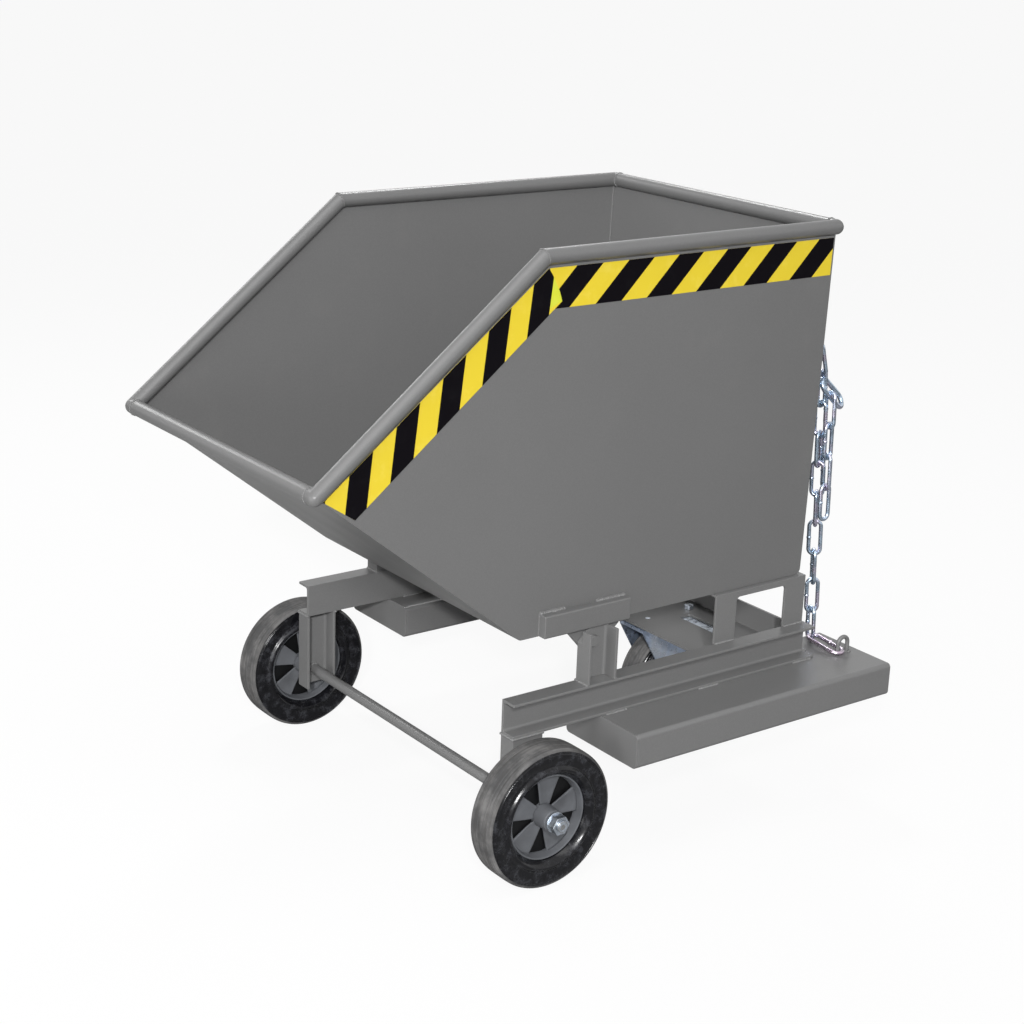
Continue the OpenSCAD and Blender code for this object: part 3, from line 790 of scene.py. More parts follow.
@dataclass
class WeldBeads:
    """Weld beads along chosen lines, grown into one piece."""

    tree: GrowTree
    lines: list[list[Vector]] = field(default_factory=list)
    ring_steps: int = 24

    def line(self, *points: Sequence[float], both_sides: bool = True) -> None:
        """Adds one bead.

        Args:
            *points: The points that the bead runs through.
            both_sides: Whether the other side of the trolley has it too.
        """
        run = [Vector(p) for p in points]
        self.lines.append(run)
        if both_sides:
            self.lines.append([Vector((p.x, -p.y, p.z)) for p in run])

    def ring(self, centre: Vector, normal: Vector, radius: float, both_sides: bool = True) -> None:
        """Adds a round bead.

        Args:
            centre: The ring's middle.
            normal: Its axis.
            radius: Its radius.
            both_sides: Whether the other side of the trolley has it too.
        """
        turn = normal.to_track_quat("Z", "X")
        angles = [math.tau * i / self.ring_steps for i in range(self.ring_steps + 1)]
        spots = [centre + turn @ Vector((math.cos(a) * radius, math.sin(a) * radius, 0)) for a in angles]
        self.line(*spots, both_sides=both_sides)

    def build(self, name: str, body: str, coat: Coating, width: float, height: float, seed: int) -> None:
        """Grows all beads into one piece.

        Args:
            name: The piece's name.
            body: The body that it moves with.
            coat: Its finish.
            width: Width of the bead.
            height: Half its height.
            seed: Seed of the ripples' sizes.
        """
        shape = bmesh.new()
        for run in self.lines:
            verts = [shape.verts.new(p) for p in run]
            for a, b in zip(verts, verts[1:]):
                shape.edges.new((a, b))
        piece = mesh_object(name, shape)
        self.tree.grow(piece, coat, Width=width, Height=height, Seed=seed)
        fit_out(piece, body, coat)


def lathe(profile: Sequence[Pair], steps: int, capped: bool = False) -> Shape:
    """Turns a profile round the Y axis.

    Args:
        profile: Points of radius and Y, in order along the section.
        steps: Number of steps round the axis.
        capped: Whether the section is open, with flat ends that close on the axis.

    Returns:
        The closed shape, with outward faces.
    """
    shape = bmesh.new()
    rings = []
    for i in range(steps):
        a = math.tau * i / steps
        rings.append([shape.verts.new((r * math.cos(a), y, r * math.sin(a))) for r, y in profile])
    last = len(profile) - 1
    pairs = [(j, j + 1) for j in range(last)] + ([] if capped else [(last, 0)])
    ends = [(j, shape.verts.new((0, profile[j][1], 0))) for j in (0, last)] if capped else []
    for here, there in zip(rings, rings[1:] + rings[:1]):
        for j, k in pairs:
            shape.faces.new((here[j], here[k], there[k], there[j])).smooth = not capped
        for j, tip in ends:
            shape.faces.new((tip, here[j], there[j]))
    bmesh.ops.recalc_face_normals(shape, faces=shape.faces)
    return shape


def mirrored(points: Sequence[Pair]) -> list[Pair]:
    """A closed section from its points on the plus Y side."""
    return [*points, *((r, -y) for r, y in reversed(points))]


def rounded_profile(points: Sequence[Pair], radius: float, steps: int = 3) -> list[Pair]:
    """Rounds the corners of a closed profile.

    Args:
        points: The sharp corners.
        radius: Radius, limited by the shortest neighbouring side.
        steps: Segments of each rounded corner.

    Returns:
        The rounded profile.
    """
    side_share = 0.45
    out: list[Pair] = []
    for i, corner in enumerate(points):
        p = Vector(corner)
        a = Vector(points[i - 1]) - p
        b = Vector(points[(i + 1) % len(points)]) - p
        cut = min(radius, a.length * side_share, b.length * side_share)
        start, end = p + a.normalized() * cut, p + b.normalized() * cut
        for t in (j / steps for j in range(steps + 1)):
            q = start * (1 - t) ** 2 + p * 2 * t * (1 - t) + end * t**2
            out.append((q.x, q.y))
    return out


@dataclass
class Wheel:
    """A wheel with a solid tyre on a plastic rim with five gaps, dark with painted shade on the web disc
    behind them.
    """

    name: str
    tyre_node: str
    rim_node: str
    outer_side: Side
    radial: GrowTree
    start: float = math.radians(-83)
    rim_radius: float = 75.9 * MM
    hub_radius: float = 21.0 * MM
    bore_radius: float = 14.05 * MM
    lip: float = 3.2 * MM
    face_drop: float = 12.5 * MM
    web_front: float = 9.0 * MM
    web_drop: float = 4.2 * MM
    panel_thick: float = 3.0 * MM
    panel_count: int = 5
    panel_scoop: float = 2.4 * MM
    panel_fall: float = 1.0 * MM
    fall_start: float = 0.85
    gap_root: float = 5.0 * MM
    gap_turn: float = math.radians(38)
    shoulder: float = 8.5 * MM

    def __post_init__(self) -> None:
        """Reads the wheel's place and size from its nodes."""
        low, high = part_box(self.tyre_node)
        self.centre = (low + high) / 2
        self.radius = (high.z - low.z) / 2
        self.half = (high.y - low.y) / 2
        rim_low, rim_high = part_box(self.rim_node)
        self.hub_half = (rim_high.y - rim_low.y) / 2
        self.body = body_of(self.tyre_node)

    def tyre_section(self) -> list[Pair]:
        """The tyre: grooved running surface, shoulders, ringed walls, bead and deep seat.

        Returns:
            The section, as points of radius and Y.
        """
        r, w, inner = self.radius, self.half, self.rim_radius
        grooves = ((0.1, 0.30), (0.8, 0.33), (0.1, 0.36), (0.2, 0.52), (0.9, 0.55), (0.3, 0.58))
        rings = ((2.4, 5.6), (5.2, 4.0), (6.4, 4.2), (7.2, 5.2), (8.4, 4.0), (9.6, 5.0), (10.8, 3.6))
        bulge = ((0.60, 3.6), (0.48, 4.6), (0.42, 5.2), (0.37, 4.6), (0.33, 2.6), (0.29, 0.8), (0.24, 0.0))
        seat = ((0.19, 0.7), (0.14, 2.8), (0.09, 5.8), (0.04, 9.4), (0.0, 13.0))
        section = [(r - drop * MM, share * w) for drop, share in grooves]
        section.append((r - 0.6 * MM, w - self.shoulder))
        section += [(r - drop * MM, w - inset * MM) for drop, inset in rings]
        section += [(inner + share * (r - inner), w - inset * MM) for share, inset in bulge + seat]
        return mirrored(section)

    def ring_section(self) -> list[Pair]:
        """The rim ring, dished towards the web on both faces.

        Returns:
            The section, as points of radius and Y.
        """
        top = self.rim_radius - 0.1 * MM
        face = self.half - self.face_drop
        foot = top - 2.0 * self.lip
        break_in = 0.8 * MM
        return mirrored(
            [
                (top, face - 1.0 * MM),
                (top - break_in, face),
                (top - self.lip + break_in, face),
                (top - self.lip, face - 1.2 * MM),
                (foot + break_in, self.web_front),
                (foot, self.web_front - self.panel_thick),
            ]
        )

    def hub_section(self) -> list[Pair]:
        """The hub, with a chamfered end on both faces.

        Returns:
            The section, as points of radius and Y.
        """
        end, radius = self.hub_half, self.hub_radius
        corners = [(radius - 3.4 * MM, end), (radius - 2.0 * MM, end - 1.4 * MM), (radius, self.web_front)]
        return mirrored([(self.bore_radius, end), *corners])

    def web_section(self) -> list[Pair]:
        """The disc that shows in the gaps between the panels, coloured near-black as painted shade.

        Returns:
            The section, as points of radius and Y.
        """
        near, far = self.hub_radius - 1.0 * MM, self.rim_radius - self.lip
        half = self.web_front - self.panel_thick - self.web_drop
        return mirrored([(near, half), (far, half)])

    def reach(self, radius: float) -> float:
        """Half the angle that a panel spans at a radius."""
        gap = self.gap_root / 2 + max(0.0, radius - self.hub_radius) * math.tan(self.gap_turn / 2)
        return math.pi / self.panel_count - math.asin(min(0.9, gap / radius))

    def skin(self, shape: Shape, face: int, sink: float) -> list[list[bmesh.types.BMVert]]:
        """Adds the points of one skin of a panel.

        Args:
            shape: The geometry to add to.
            face: 1 for the outer face of the wheel, -1 for the other one.
            sink: Depth of the skin under the panel's surface.

        Returns:
            The points, from edge to edge and from hub to ring.
        """
        inner, outer = self.hub_radius - 1.5 * MM, self.rim_radius - 2.0 * self.lip + 1.0 * MM
        rows = []
        around = (0, 0.04, 0.1, 0.25, 0.4, 0.5, 0.6, 0.75, 0.9, 0.96, 1)
        outward = (0, 0.1, 0.3, 0.55, 0.8, 0.93, 1)
        for share in around:
            edge = abs(2 * share - 1)
            fall = self.panel_fall * max(0.0, (edge - self.fall_start) / (1 - self.fall_start)) ** 2
            row = []
            for j, t in enumerate(outward):
                r = inner + (outer - inner) * t
                swell = math.sin(math.pi * j / (len(outward) - 1))
                tilt = self.panel_scoop * (share - 0.5) * swell
                dish = self.panel_scoop * swell * (1 - edge**2)
                angle = (2 * share - 1) * self.reach(r)
                y = face * (self.web_front - fall - dish + face * tilt - sink)
                row.append(shape.verts.new((r * math.cos(angle), y, r * math.sin(angle))))
            rows.append(row)
        return rows

    def panel(self) -> Shape:
        """One scooped panel between hub and ring: a thin closed shell on each face of the wheel.

        Returns:
            The panel, drawn round the Y axis.
        """
        shape = bmesh.new()
        for face in (1, -1):
            front, back = (self.skin(shape, face, sink) for sink in (0.0, self.panel_thick))
            last_i, last_j = len(front) - 1, len(front[0]) - 1
            for i in range(last_i):
                for j in range(last_j):
                    for skin in (front, back):
                        corners = (skin[i][j], skin[i + 1][j], skin[i + 1][j + 1], skin[i][j + 1])
                        shape.faces.new(corners).smooth = True
                for j in (0, last_j):
                    shape.faces.new((front[i][j], front[i + 1][j], back[i + 1][j], back[i][j]))
            for j in range(last_j):
                for i in (0, last_i):
                    shape.faces.new((front[i][j], front[i][j + 1], back[i][j + 1], back[i][j]))
        return shape

    def facing(self, shape: Shape, place: Vector) -> Shape:
        """Turns the outer face of a shape to the wheel's outer side and moves it.

        Args:
            shape: Geometry drawn round the Y axis with the outer face at plus Y.
            place: Where the axis' middle goes.

        Returns:
            The same shape.
        """
        shape.transform(Matrix.Translation(place) @ Matrix.Diagonal((1, self.outer_side.value, 1, 1)))
        bmesh.ops.recalc_face_normals(shape, faces=shape.faces)
        return shape

    def turn(
        self,
        part: str,
        section: list[Pair],
        bend: float,
        steps: int,
        coat: Coating,
        stands_for: Sequence[str] = (),
    ) -> None:
        """Makes one turned piece of the wheel from its section."""
        shape = self.facing(lathe(rounded_profile(section, bend), steps), self.centre)
        fit_out(mesh_object(f"{self.name}_{part}", shape), self.body, coat, stands_for)

    def build(self) -> None:
        """Makes the tyre, the rim's turned pieces and its panels."""
        rubber = SolidRubber(f"{self.name} rubber", Finish.TYRE, self.centre, self.radius)
        stands_for = [self.tyre_node]
        self.turn("tyre", self.tyre_section(), bend=2 * MM, steps=128, coat=rubber, stands_for=stands_for)
        self.turn("ring", self.ring_section(), bend=1.2 * MM, steps=96, coat=RIM_PLASTIC)
        self.turn("hub", self.hub_section(), bend=1.0 * MM, steps=72, coat=RIM_PLASTIC)
        # The web disc gets the near-black coat: painted shade in the gaps between the panels.
        self.turn("web", self.web_section(), bend=0.4 * MM, steps=64, coat=PAINTED_SHADE_WEB)
        panels = mesh_object(f"{self.name}_panels", self.facing(self.panel(), Vector()))
        self.radial.grow(
            panels,
            RIM_PLASTIC,
            Count=self.panel_count,
            Step=math.tau / self.panel_count,
            Start=self.start,
            Centre=tuple(self.centre),
        )
        fit_out(panels, self.body, RIM_PLASTIC, [self.rim_node])


@dataclass
class Caster:
    """The rear caster: a narrower wheel in a zinc fork that turns under its top plate."""

    steel: RoundedSteel
    radial: GrowTree
    rim_radius: float = 73.9 * MM
    hub_radius: float = 20.0 * MM
    bore_radius: float = 10.05 * MM
    web_front: float = 11.0 * MM
    shoulder: float = 7.5 * MM
    edge: float = 0.8 * MM
    plain: tuple[str, ...] = ("swivel_race", "kingpin", "caster_bolts", "caster_axle", "caster_sleeve")

    def build(self) -> None:
        """Makes the wheel, dresses the plate and the fork and paints the small parts."""
        Wheel(
            "caster",
            "caster_tyre",
            "caster_rim",
            Side.LEFT,
            self.radial,
            rim_radius=self.rim_radius,
            hub_radius=self.hub_radius,
            bore_radius=self.bore_radius,
            web_front=self.web_front,
            shoulder=self.shoulder,
        ).build()
        self.steel.dress(["caster_plate", "caster_fork"], BLUE_ZINC, self.edge)
        paint_nodes(self.plain, BRIGHT_ZINC)


@dataclass
class Chassis:
    """The welded frame: channels, legs, posts, portals, pockets and plates."""

    steel: RoundedSteel
    tree: GrowTree
    stitch: float = 42 * MM
    stitch_lag: float = 20 * MM
    pocket_stitches: tuple[float, ...] = (0.02, 0.44, 0.9)
    cross_stitch: float = 50 * MM
    cross_stitches: tuple[float, ...] = (0.05, 0.6)
    cross_sink: float = 0.5 * MM
    cross_foot: float = 8 * MM
    corner_gap: float = 2 * MM
    portal_leg: float = 50 * MM
    portal_gap: float = 4 * MM
    portal_inset: float = 3 * MM
    plate: float = 5.5 * MM
    bar_ring: float = 10.5 * MM
    eye_ring: float = 4.6 * MM
    eye_bar: float = 4 * MM
    eye_lift: float = 0.6 * MM
    thread: float = 10.2 * MM
    hollow_depth: float = 1.1 * MM
    thread_steps: int = 40

    def __post_init__(self) -> None:
        """Reads the right channel's box, along which most beads run."""
        low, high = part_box("channel_right")
        self.web, self.tip, self.deck, self.top, self.rear = low.y, high.y, low.z, high.z, high.x

    def build(self) -> None:
        """Dresses the chassis pieces and adds the thread ends and the weld beads."""
        pairs = [f"{part}_{side.word}" for part in ("channel", "leg", "post", "portal") for side in Side]
        self.steel.dress(pairs + ["cross_plate"], CHASSIS_COAT)
        self.steel.dress(["pocket_left", "pocket_right"], CHASSIS_COAT, 1.2 * MM)
        self.steel.dress(["pocket_caps", "chain_eye", "axle_bar", "pivot_pins"], CHASSIS_COAT, 0.6 * MM)
        self.steel.dress(["caster_adapter", "wheel_washers", "wheel_nuts"], BRIGHT_ZINC, 0.7 * MM)
        self.thread_ends()
        self.welds()

    def thread_ends(self) -> None:
        """The zinc thread ends that show in the wheel nuts, each with a turned hollow."""
        low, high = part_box("axle_bar")
        centre, reach = (low + high) / 2, (high.y - low.y) / 2 + 0.15 * MM
        nut_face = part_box("wheel_nuts")[1].y
        profile = [
            (3.6 * MM, reach - self.hollow_depth),
            (4.4 * MM, reach - 0.2 * MM),
            (5.2 * MM, reach),
            (8.9 * MM, reach),
            (self.thread, reach - 1.4 * MM),
            (self.thread, nut_face + 0.4 * MM),
        ]
        for side in Side:
            shape = lathe([(r, side.value * y) for r, y in profile], self.thread_steps, capped=True)
            shape.transform(Matrix.Translation((centre.x, 0, centre.z)))
            fit_out(mesh_object(f"thread_end_{side.word}", shape), "chassis", BRIGHT_ZINC)

    def welds(self) -> None:
        """Beads where the frame's pieces meet."""
        beads = WeldBeads(self.tree)
        self.pocket_welds(beads)
        self.upright_welds(beads)
        self.cross_welds(beads)
        self.round_welds(beads)
        beads.build("chassis_welds", "chassis", CHASSIS_COAT, width=6.4 * MM, height=2.6 * MM, seed=11)

    def pocket_welds(self, beads: WeldBeads) -> None:
        """Short beads between the channels and the pockets.

        Args:
            beads: The beads to add to.
        """
        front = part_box("pocket_right")[0].x
        for share in self.pocket_stitches:
            x = front + share * (self.rear - front)
            for y, start in ((self.tip, x), (self.web, x + self.stitch_lag)):
                beads.line((start, y, self.deck), (start + self.stitch, y, self.deck))

    def upright_welds(self, beads: WeldBeads) -> None:
        """Beads at the legs, the posts and the portals.

        Args:
            beads: The beads to add to.
        """
        web, tip, deck, top = self.web, self.tip, self.deck, self.top
        low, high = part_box("leg_right")
        beads.line((low.x, tip, deck), (high.x, tip, deck))
        for x in (low.x, high.x):
            beads.line((x, tip, deck), (x, web, deck))
        low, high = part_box("post_right")
        beads.line((low.x, web, top), (high.x, web, top))
        for x in (low.x, high.x):
            beads.line((x, web + self.corner_gap, top), (x, tip - self.corner_gap, top))
        low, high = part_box("portal_right")
        inset = web + self.portal_inset
        for x in (low.x, high.x - self.portal_leg):
            start, end = x + self.portal_gap, x + self.portal_leg - self.portal_gap
            beads.line((start, inset, top), (end, inset, top))

    def cross_welds(self, beads: WeldBeads) -> None:
        """Beads at the ends of the rear cross plate.

        Args:
            beads: The beads to add to.
        """
        low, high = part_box("cross_plate")
        edge, level = self.web - self.cross_sink, self.deck + self.plate
        for share in self.cross_stitches:
            x = low.x + share * (high.x - low.x)
            beads.line((x, edge, level), (x + self.cross_stitch, edge, level))
        x = high.x - self.plate
        beads.line((x, self.web, self.deck + self.cross_foot), (x, self.web, high.z))

    def round_welds(self, beads: WeldBeads) -> None:
        """Rings round the axle bar's ends and round the feet of the chain's eye.

        Args:
            beads: The beads to add to.
        """
        bar, leg_face = middle_of("axle_bar"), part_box("leg_right")[1].y
        beads.ring(Vector((bar.x, leg_face - self.plate, bar.z)), ALONG_Y, self.bar_ring)
        low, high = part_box("chain_eye")
        for x in (low.x + self.eye_bar, high.x - self.eye_bar):
            spot = Vector((x, (low.y + high.y) / 2, low.z + self.eye_lift))
            beads.ring(spot, ALONG_Z, self.eye_ring, both_sides=False)


@dataclass
class Rim:
    """The centre line of the rim tube along one side: its corners in X and Z, and its distance in Y."""

    side: Side
    radius: float = 13.5 * MM
    level_run: float = 641 * MM

    def __post_init__(self) -> None:
        """Reads the corners from the tube's box."""
        low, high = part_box(f"rim_{self.side.word}")
        self.lip = Vector((low.x + self.radius, low.z + self.radius))
        self.rear = Vector((high.x - self.radius, high.z - self.radius))
        self.bend = self.rear - Vector((self.level_run, 0))
        self.y = max(abs(low.y), abs(high.y)) - self.radius


@dataclass
class Skip:
    """The tipping skip: sheet, sides, rim, rails, lugs, handle and peg."""

    steel: RoundedSteel
    tree: GrowTree
    rim: Rim = field(default_factory=lambda: Rim(Side.RIGHT))
    front_fold: float = -174.75 * MM
    rear_fold: float = 465.25 * MM
    sheet: float = 3 * MM
    rail_beads: tuple[Pair, ...] = ((0.01, 0.28), (0.66, 0.99))
    rail_margins: Pair = (3 * MM, 2 * MM)
    handle_sink: float = 0.5 * MM
    seam_start: Pair = (16 * MM, 6 * MM)
    seam_lift: float = 1 * MM
    seam_gap: float = 2 * MM
    seam_end: float = 4 * MM

    def build(self) -> None:
        """Dresses the skip's pieces and adds its weld beads."""
        self.steel.dress(["skip_sheet", "skip_side_left", "skip_side_right"], SKIP_COAT, 0.5 * MM)
        self.steel.dress(["rim_left", "rim_right", "rim_lip", "rim_rear"], SKIP_COAT, 0.3 * MM)
        self.steel.dress(["side_rail_left", "side_rail_right"], SKIP_COAT, 1.6 * MM)
        self.steel.dress(["pivot_ears", "push_handle"], SKIP_COAT, 0.6 * MM)
        self.steel.dress(["chain_peg"], BRIGHT_ZINC, 0.6 * MM)
        self.joint_welds()
        self.rail_welds()
        self.seams()

    def joint_welds(self) -> None:
        """Beads at the rim's mitres, the rails' ends and the handle's feet."""
        beads = WeldBeads(self.tree)
        lip, bend, rear, radius = self.rim.lip, self.rim.bend, self.rim.rear, self.rim.radius
        slope = math.atan2(bend.y - lip.y, bend.x - lip.x)
        mitre = Vector((math.cos(slope / 2), 0, math.sin(slope / 2)))
        beads.ring(Vector((bend.x, self.rim.y, bend.y)), mitre, radius)
        for corner in (lip, rear):
            beads.ring(Vector((corner.x, self.rim.y - radius, corner.y)), ALONG_Y, radius)
        low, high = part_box("side_rail_right")
        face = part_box("skip_side_right")[1].y
        for x in (low.x, high.x):
            beads.line((x, face, low.z + self.rail_margins[0]), (x, face, high.z - self.rail_margins[1]))
        low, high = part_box("push_handle")
        foot = Vector((low.x + self.handle_sink, high.y - radius, (low.z + high.z) / 2))
        beads.ring(foot, ALONG_X, radius)
        beads.build("skip_welds", "skip", SKIP_COAT, width=4.2 * MM, height=1.6 * MM, seed=5)

    def rail_welds(self) -> None:
        """Heavy beads along the top of the side rails."""
        beads = WeldBeads(self.tree)
        low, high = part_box("side_rail_right")
        face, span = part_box("skip_side_right")[1].y, high.x - low.x
        for start, end in self.rail_beads:
            beads.line((low.x + start * span, face, high.z), (low.x + end * span, face, high.z))
        beads.build("rail_welds", "skip", SKIP_COAT, width=11.0 * MM, height=4.4 * MM, seed=3)

    def seams(self) -> None:
        """Beads inside, where the side plates meet the folded sheet."""
        beads = WeldBeads(self.tree)
        sheet_low, sheet_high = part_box("skip_sheet")
        inner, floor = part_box("skip_side_right")[0].y, sheet_low.z + self.sheet
        lip = self.rim.lip
        back = (self.rear_fold, inner, floor)
        front = (self.front_fold, inner, floor + self.seam_lift)
        beads.line((lip.x + self.seam_start[0], inner, lip.y - self.seam_start[1]), front)
        beads.line((self.front_fold + self.seam_gap, inner, floor), back)
        beads.line(back, (sheet_high.x - self.seam_end, inner, self.rim.rear.y - self.rim.radius))
        beads.build("skip_seams", "skip", SKIP_COAT, width=5.0 * MM, height=1.9 * MM, seed=9)


@dataclass
class HazardTape:
    """The striped tape below the rim: two strips a side, with a cut joint.

    Places on the tape are run and drop: along the rim from a corner of its
    centre line, and away from it.
    """

    side: Side
    film: float = 0.3 * MM
    stripe: float = 0.15 * MM
    patch: float = 0.12 * MM
    stripe_len: float = 53.7 * MM
    start: float = 31 * MM
    slope_top: float = 16 * MM
    slope_low: float = 80 * MM
    slope_runs: Pair = (5.5 * MM, 26.5 * MM)
    level_top: float = 18.5 * MM
    level_low: float = 84.5 * MM
    level_runs: Pair = (10 * MM, 14 * MM)
    rear_taper: float = 2.2 * MM
    level_stripes: int = 7
    slope_stripes: int = 5
    joint_cut: tuple[Pair, ...] = ((8, 18.5), (17.5, 32.5), (31, 57.5), (36.5, 73.5))
    patch_cut: tuple[Pair, ...] = ((9, 84.5), (23, 79))

    def __post_init__(self) -> None:
        """Reads the rim's corners and the tape's place from the model."""
        rim = Rim(self.side)
        self.lip, self.bend = rim.lip, rim.bend
        self.along = (self.bend - self.lip).normalized()
        self.down = Vector((self.along.y, -self.along.x))
        low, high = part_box(f"skip_side_{self.side.word}")
        self.face = max(abs(low.y), abs(high.y))
        self.tape_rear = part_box(f"hazard_tape_{self.side.word}")[1].x

    def slope_point(self, run: float, drop: float) -> Vector:
        """A point of the sloping strip, counted from the lip."""
        return self.lip + self.along * run + self.down * drop

    def level_point(self, run: float, drop: float) -> Vector:
        """A point of the level strip, counted from the bend."""
        return self.bend + Vector((run, -drop))

    def level_points(self, places: Iterable[Pair]) -> list[Vector]:
        """Points of the level strip, given in millimetres."""
        return [self.level_point(run * MM, drop * MM) for run, drop in places]

    @staticmethod
    def clipped(shape: list[Vector], a: Vector, b: Vector) -> list[Vector]:
        """The part of a convex outline on the left of a line.

        Args:
            shape: The outline's corners.
            a: A point of the line.
            b: A later point of the line.

        Returns:
            The clipped outline, which may be empty.
        """
        edge = b - a
        heights = [edge.x * (p.y - a.y) - edge.y * (p.x - a.x) for p in shape]
        out: list[Vector] = []
        for i, (p, here) in enumerate(zip(shape, heights)):
            j = (i + 1) % len(shape)
            q, there = shape[j], heights[j]
            if here >= 0:
                out.append(p)
            if (here >= 0) != (there >= 0):
                out.append(p + (q - p) * (here / (here - there)))
        return out

    def inside(self, shape: list[Vector], outline: list[Vector]) -> list[Vector]:
        """The part of a convex outline inside another one.

        Args:
            shape: The outline to cut.
            outline: The outline to stay inside, given anticlockwise.

        Returns:
            The part, which may be empty.
        """
        for a, b in zip(outline, outline[1:] + outline[:1]):
            shape = self.clipped(shape, a, b) if len(shape) > 2 else []
        return shape

    def slab(self, shape: Shape, outline: Sequence[Vector], base: float, thick: float) -> None:
        """Adds a thin plate with the given outline.

        Args:
            shape: The geometry to add to.
            outline: Corners in X and Z.
            base: Distance of its back from the side plate.
            thick: Its thickness.
        """
        near, far = (
            [shape.verts.new((p.x, self.side.value * (self.face + height), p.y)) for p in outline]
            for height in (base, base + thick)
        )
        shape.faces.new(near)
        shape.faces.new(far)
        for i in range(len(outline)):
            shape.faces.new((near[i - 1], near[i], far[i], far[i - 1]))

    def strip_outlines(self) -> tuple[list[Vector], list[Vector]]:
        """The outlines of the two strips.

        Returns:
            The sloping strip and the level strip, anticlockwise.
        """
        top_run, low_run = self.slope_runs
        start = [self.slope_point(top_run, self.slope_top), self.slope_point(low_run, self.slope_low)]
        joint = self.level_points(reversed(self.joint_cut))
        top_run, low_run = self.level_runs
        level = [
            self.level_point(low_run, self.level_low),
            Vector((self.tape_rear - self.rear_taper, self.bend.y - self.level_low)),
            Vector((self.tape_rear, self.bend.y - self.level_top)),
            self.level_point(top_run, self.level_top),
        ]
        return start + joint, level

    def stripes(
        self,
        base: Vector,
        along: Vector,
        down: Vector,
        middle: float,
        count: int,
    ) -> list[list[Vector]]:
        """Slanted stripes of one strip, anticlockwise.

        Args:
            base: The rim corner that the strip starts from.
            along: Unit vector along the strip.
            down: Unit vector away from the rim.
            middle: Distance of the strip's middle line from the rim's.
            count: How many stripes follow the first one.

        Returns:
            The outlines of the stripes.
        """
        reach = self.level_low
        out = []
        for i in range(-1, count):
            run = self.start + 2 * i * self.stripe_len
            end = run + self.stripe_len
            corners = ((run, reach), (end, reach), (end, -reach), (run, -reach))
            out.append([base + along * (s - d) + down * (middle + d) for s, d in corners])
        return out

    def build(self) -> None:
        """Makes the yellow strips, the stripes and the fresh patch at the joint."""
        sloping, level = self.strip_outlines()
        word = self.side.word
        yellow = bmesh.new()
        self.slab(yellow, level, 0.0, self.film)
        self.slab(yellow, sloping, 0.0, 2 * self.film)
        self.lay(yellow, f"tape_strips_{word}", YELLOW_FILM, [f"hazard_tape_{word}"])
        flat, drop = Vector((1, 0)), Vector((0, -1))
        level_mid, slope_mid = (self.level_top + self.level_low) / 2, (self.slope_top + self.slope_low) / 2
        on_level = self.stripes(self.bend, flat, drop, level_mid, self.level_stripes)
        on_slope = self.stripes(self.lip, self.along, self.down, slope_mid, self.slope_stripes)
        black = bmesh.new()
        for stripes, strip, films in ((on_level, level, 1), (on_slope, sloping, 2)):
            for part in (self.inside(outline, strip) for outline in stripes):
                if len(part) > 2:
                    self.slab(black, part, films * self.film, self.stripe)
        self.lay(black, f"tape_stripes_{word}_dressed", BLACK_FILM, [f"tape_stripes_{word}"])
        fresh = bmesh.new()
        low_cut = self.level_points((self.joint_cut[1], *self.patch_cut, *self.joint_cut[:1:-1]))
        self.slab(fresh, self.inside(low_cut, sloping), 2 * self.film, self.patch)
        self.lay(fresh, f"tape_patch_{word}", GREEN_FILM)

    @staticmethod
    def lay(shape: Shape, name: str, coat: Coating, stands_for: Sequence[str] = ()) -> None:
        """Turns a shape's faces outward and puts it on the skip."""
        bmesh.ops.recalc_face_normals(shape, faces=shape.faces)
        fit_out(mesh_object(name, shape), "skip", coat, stands_for)


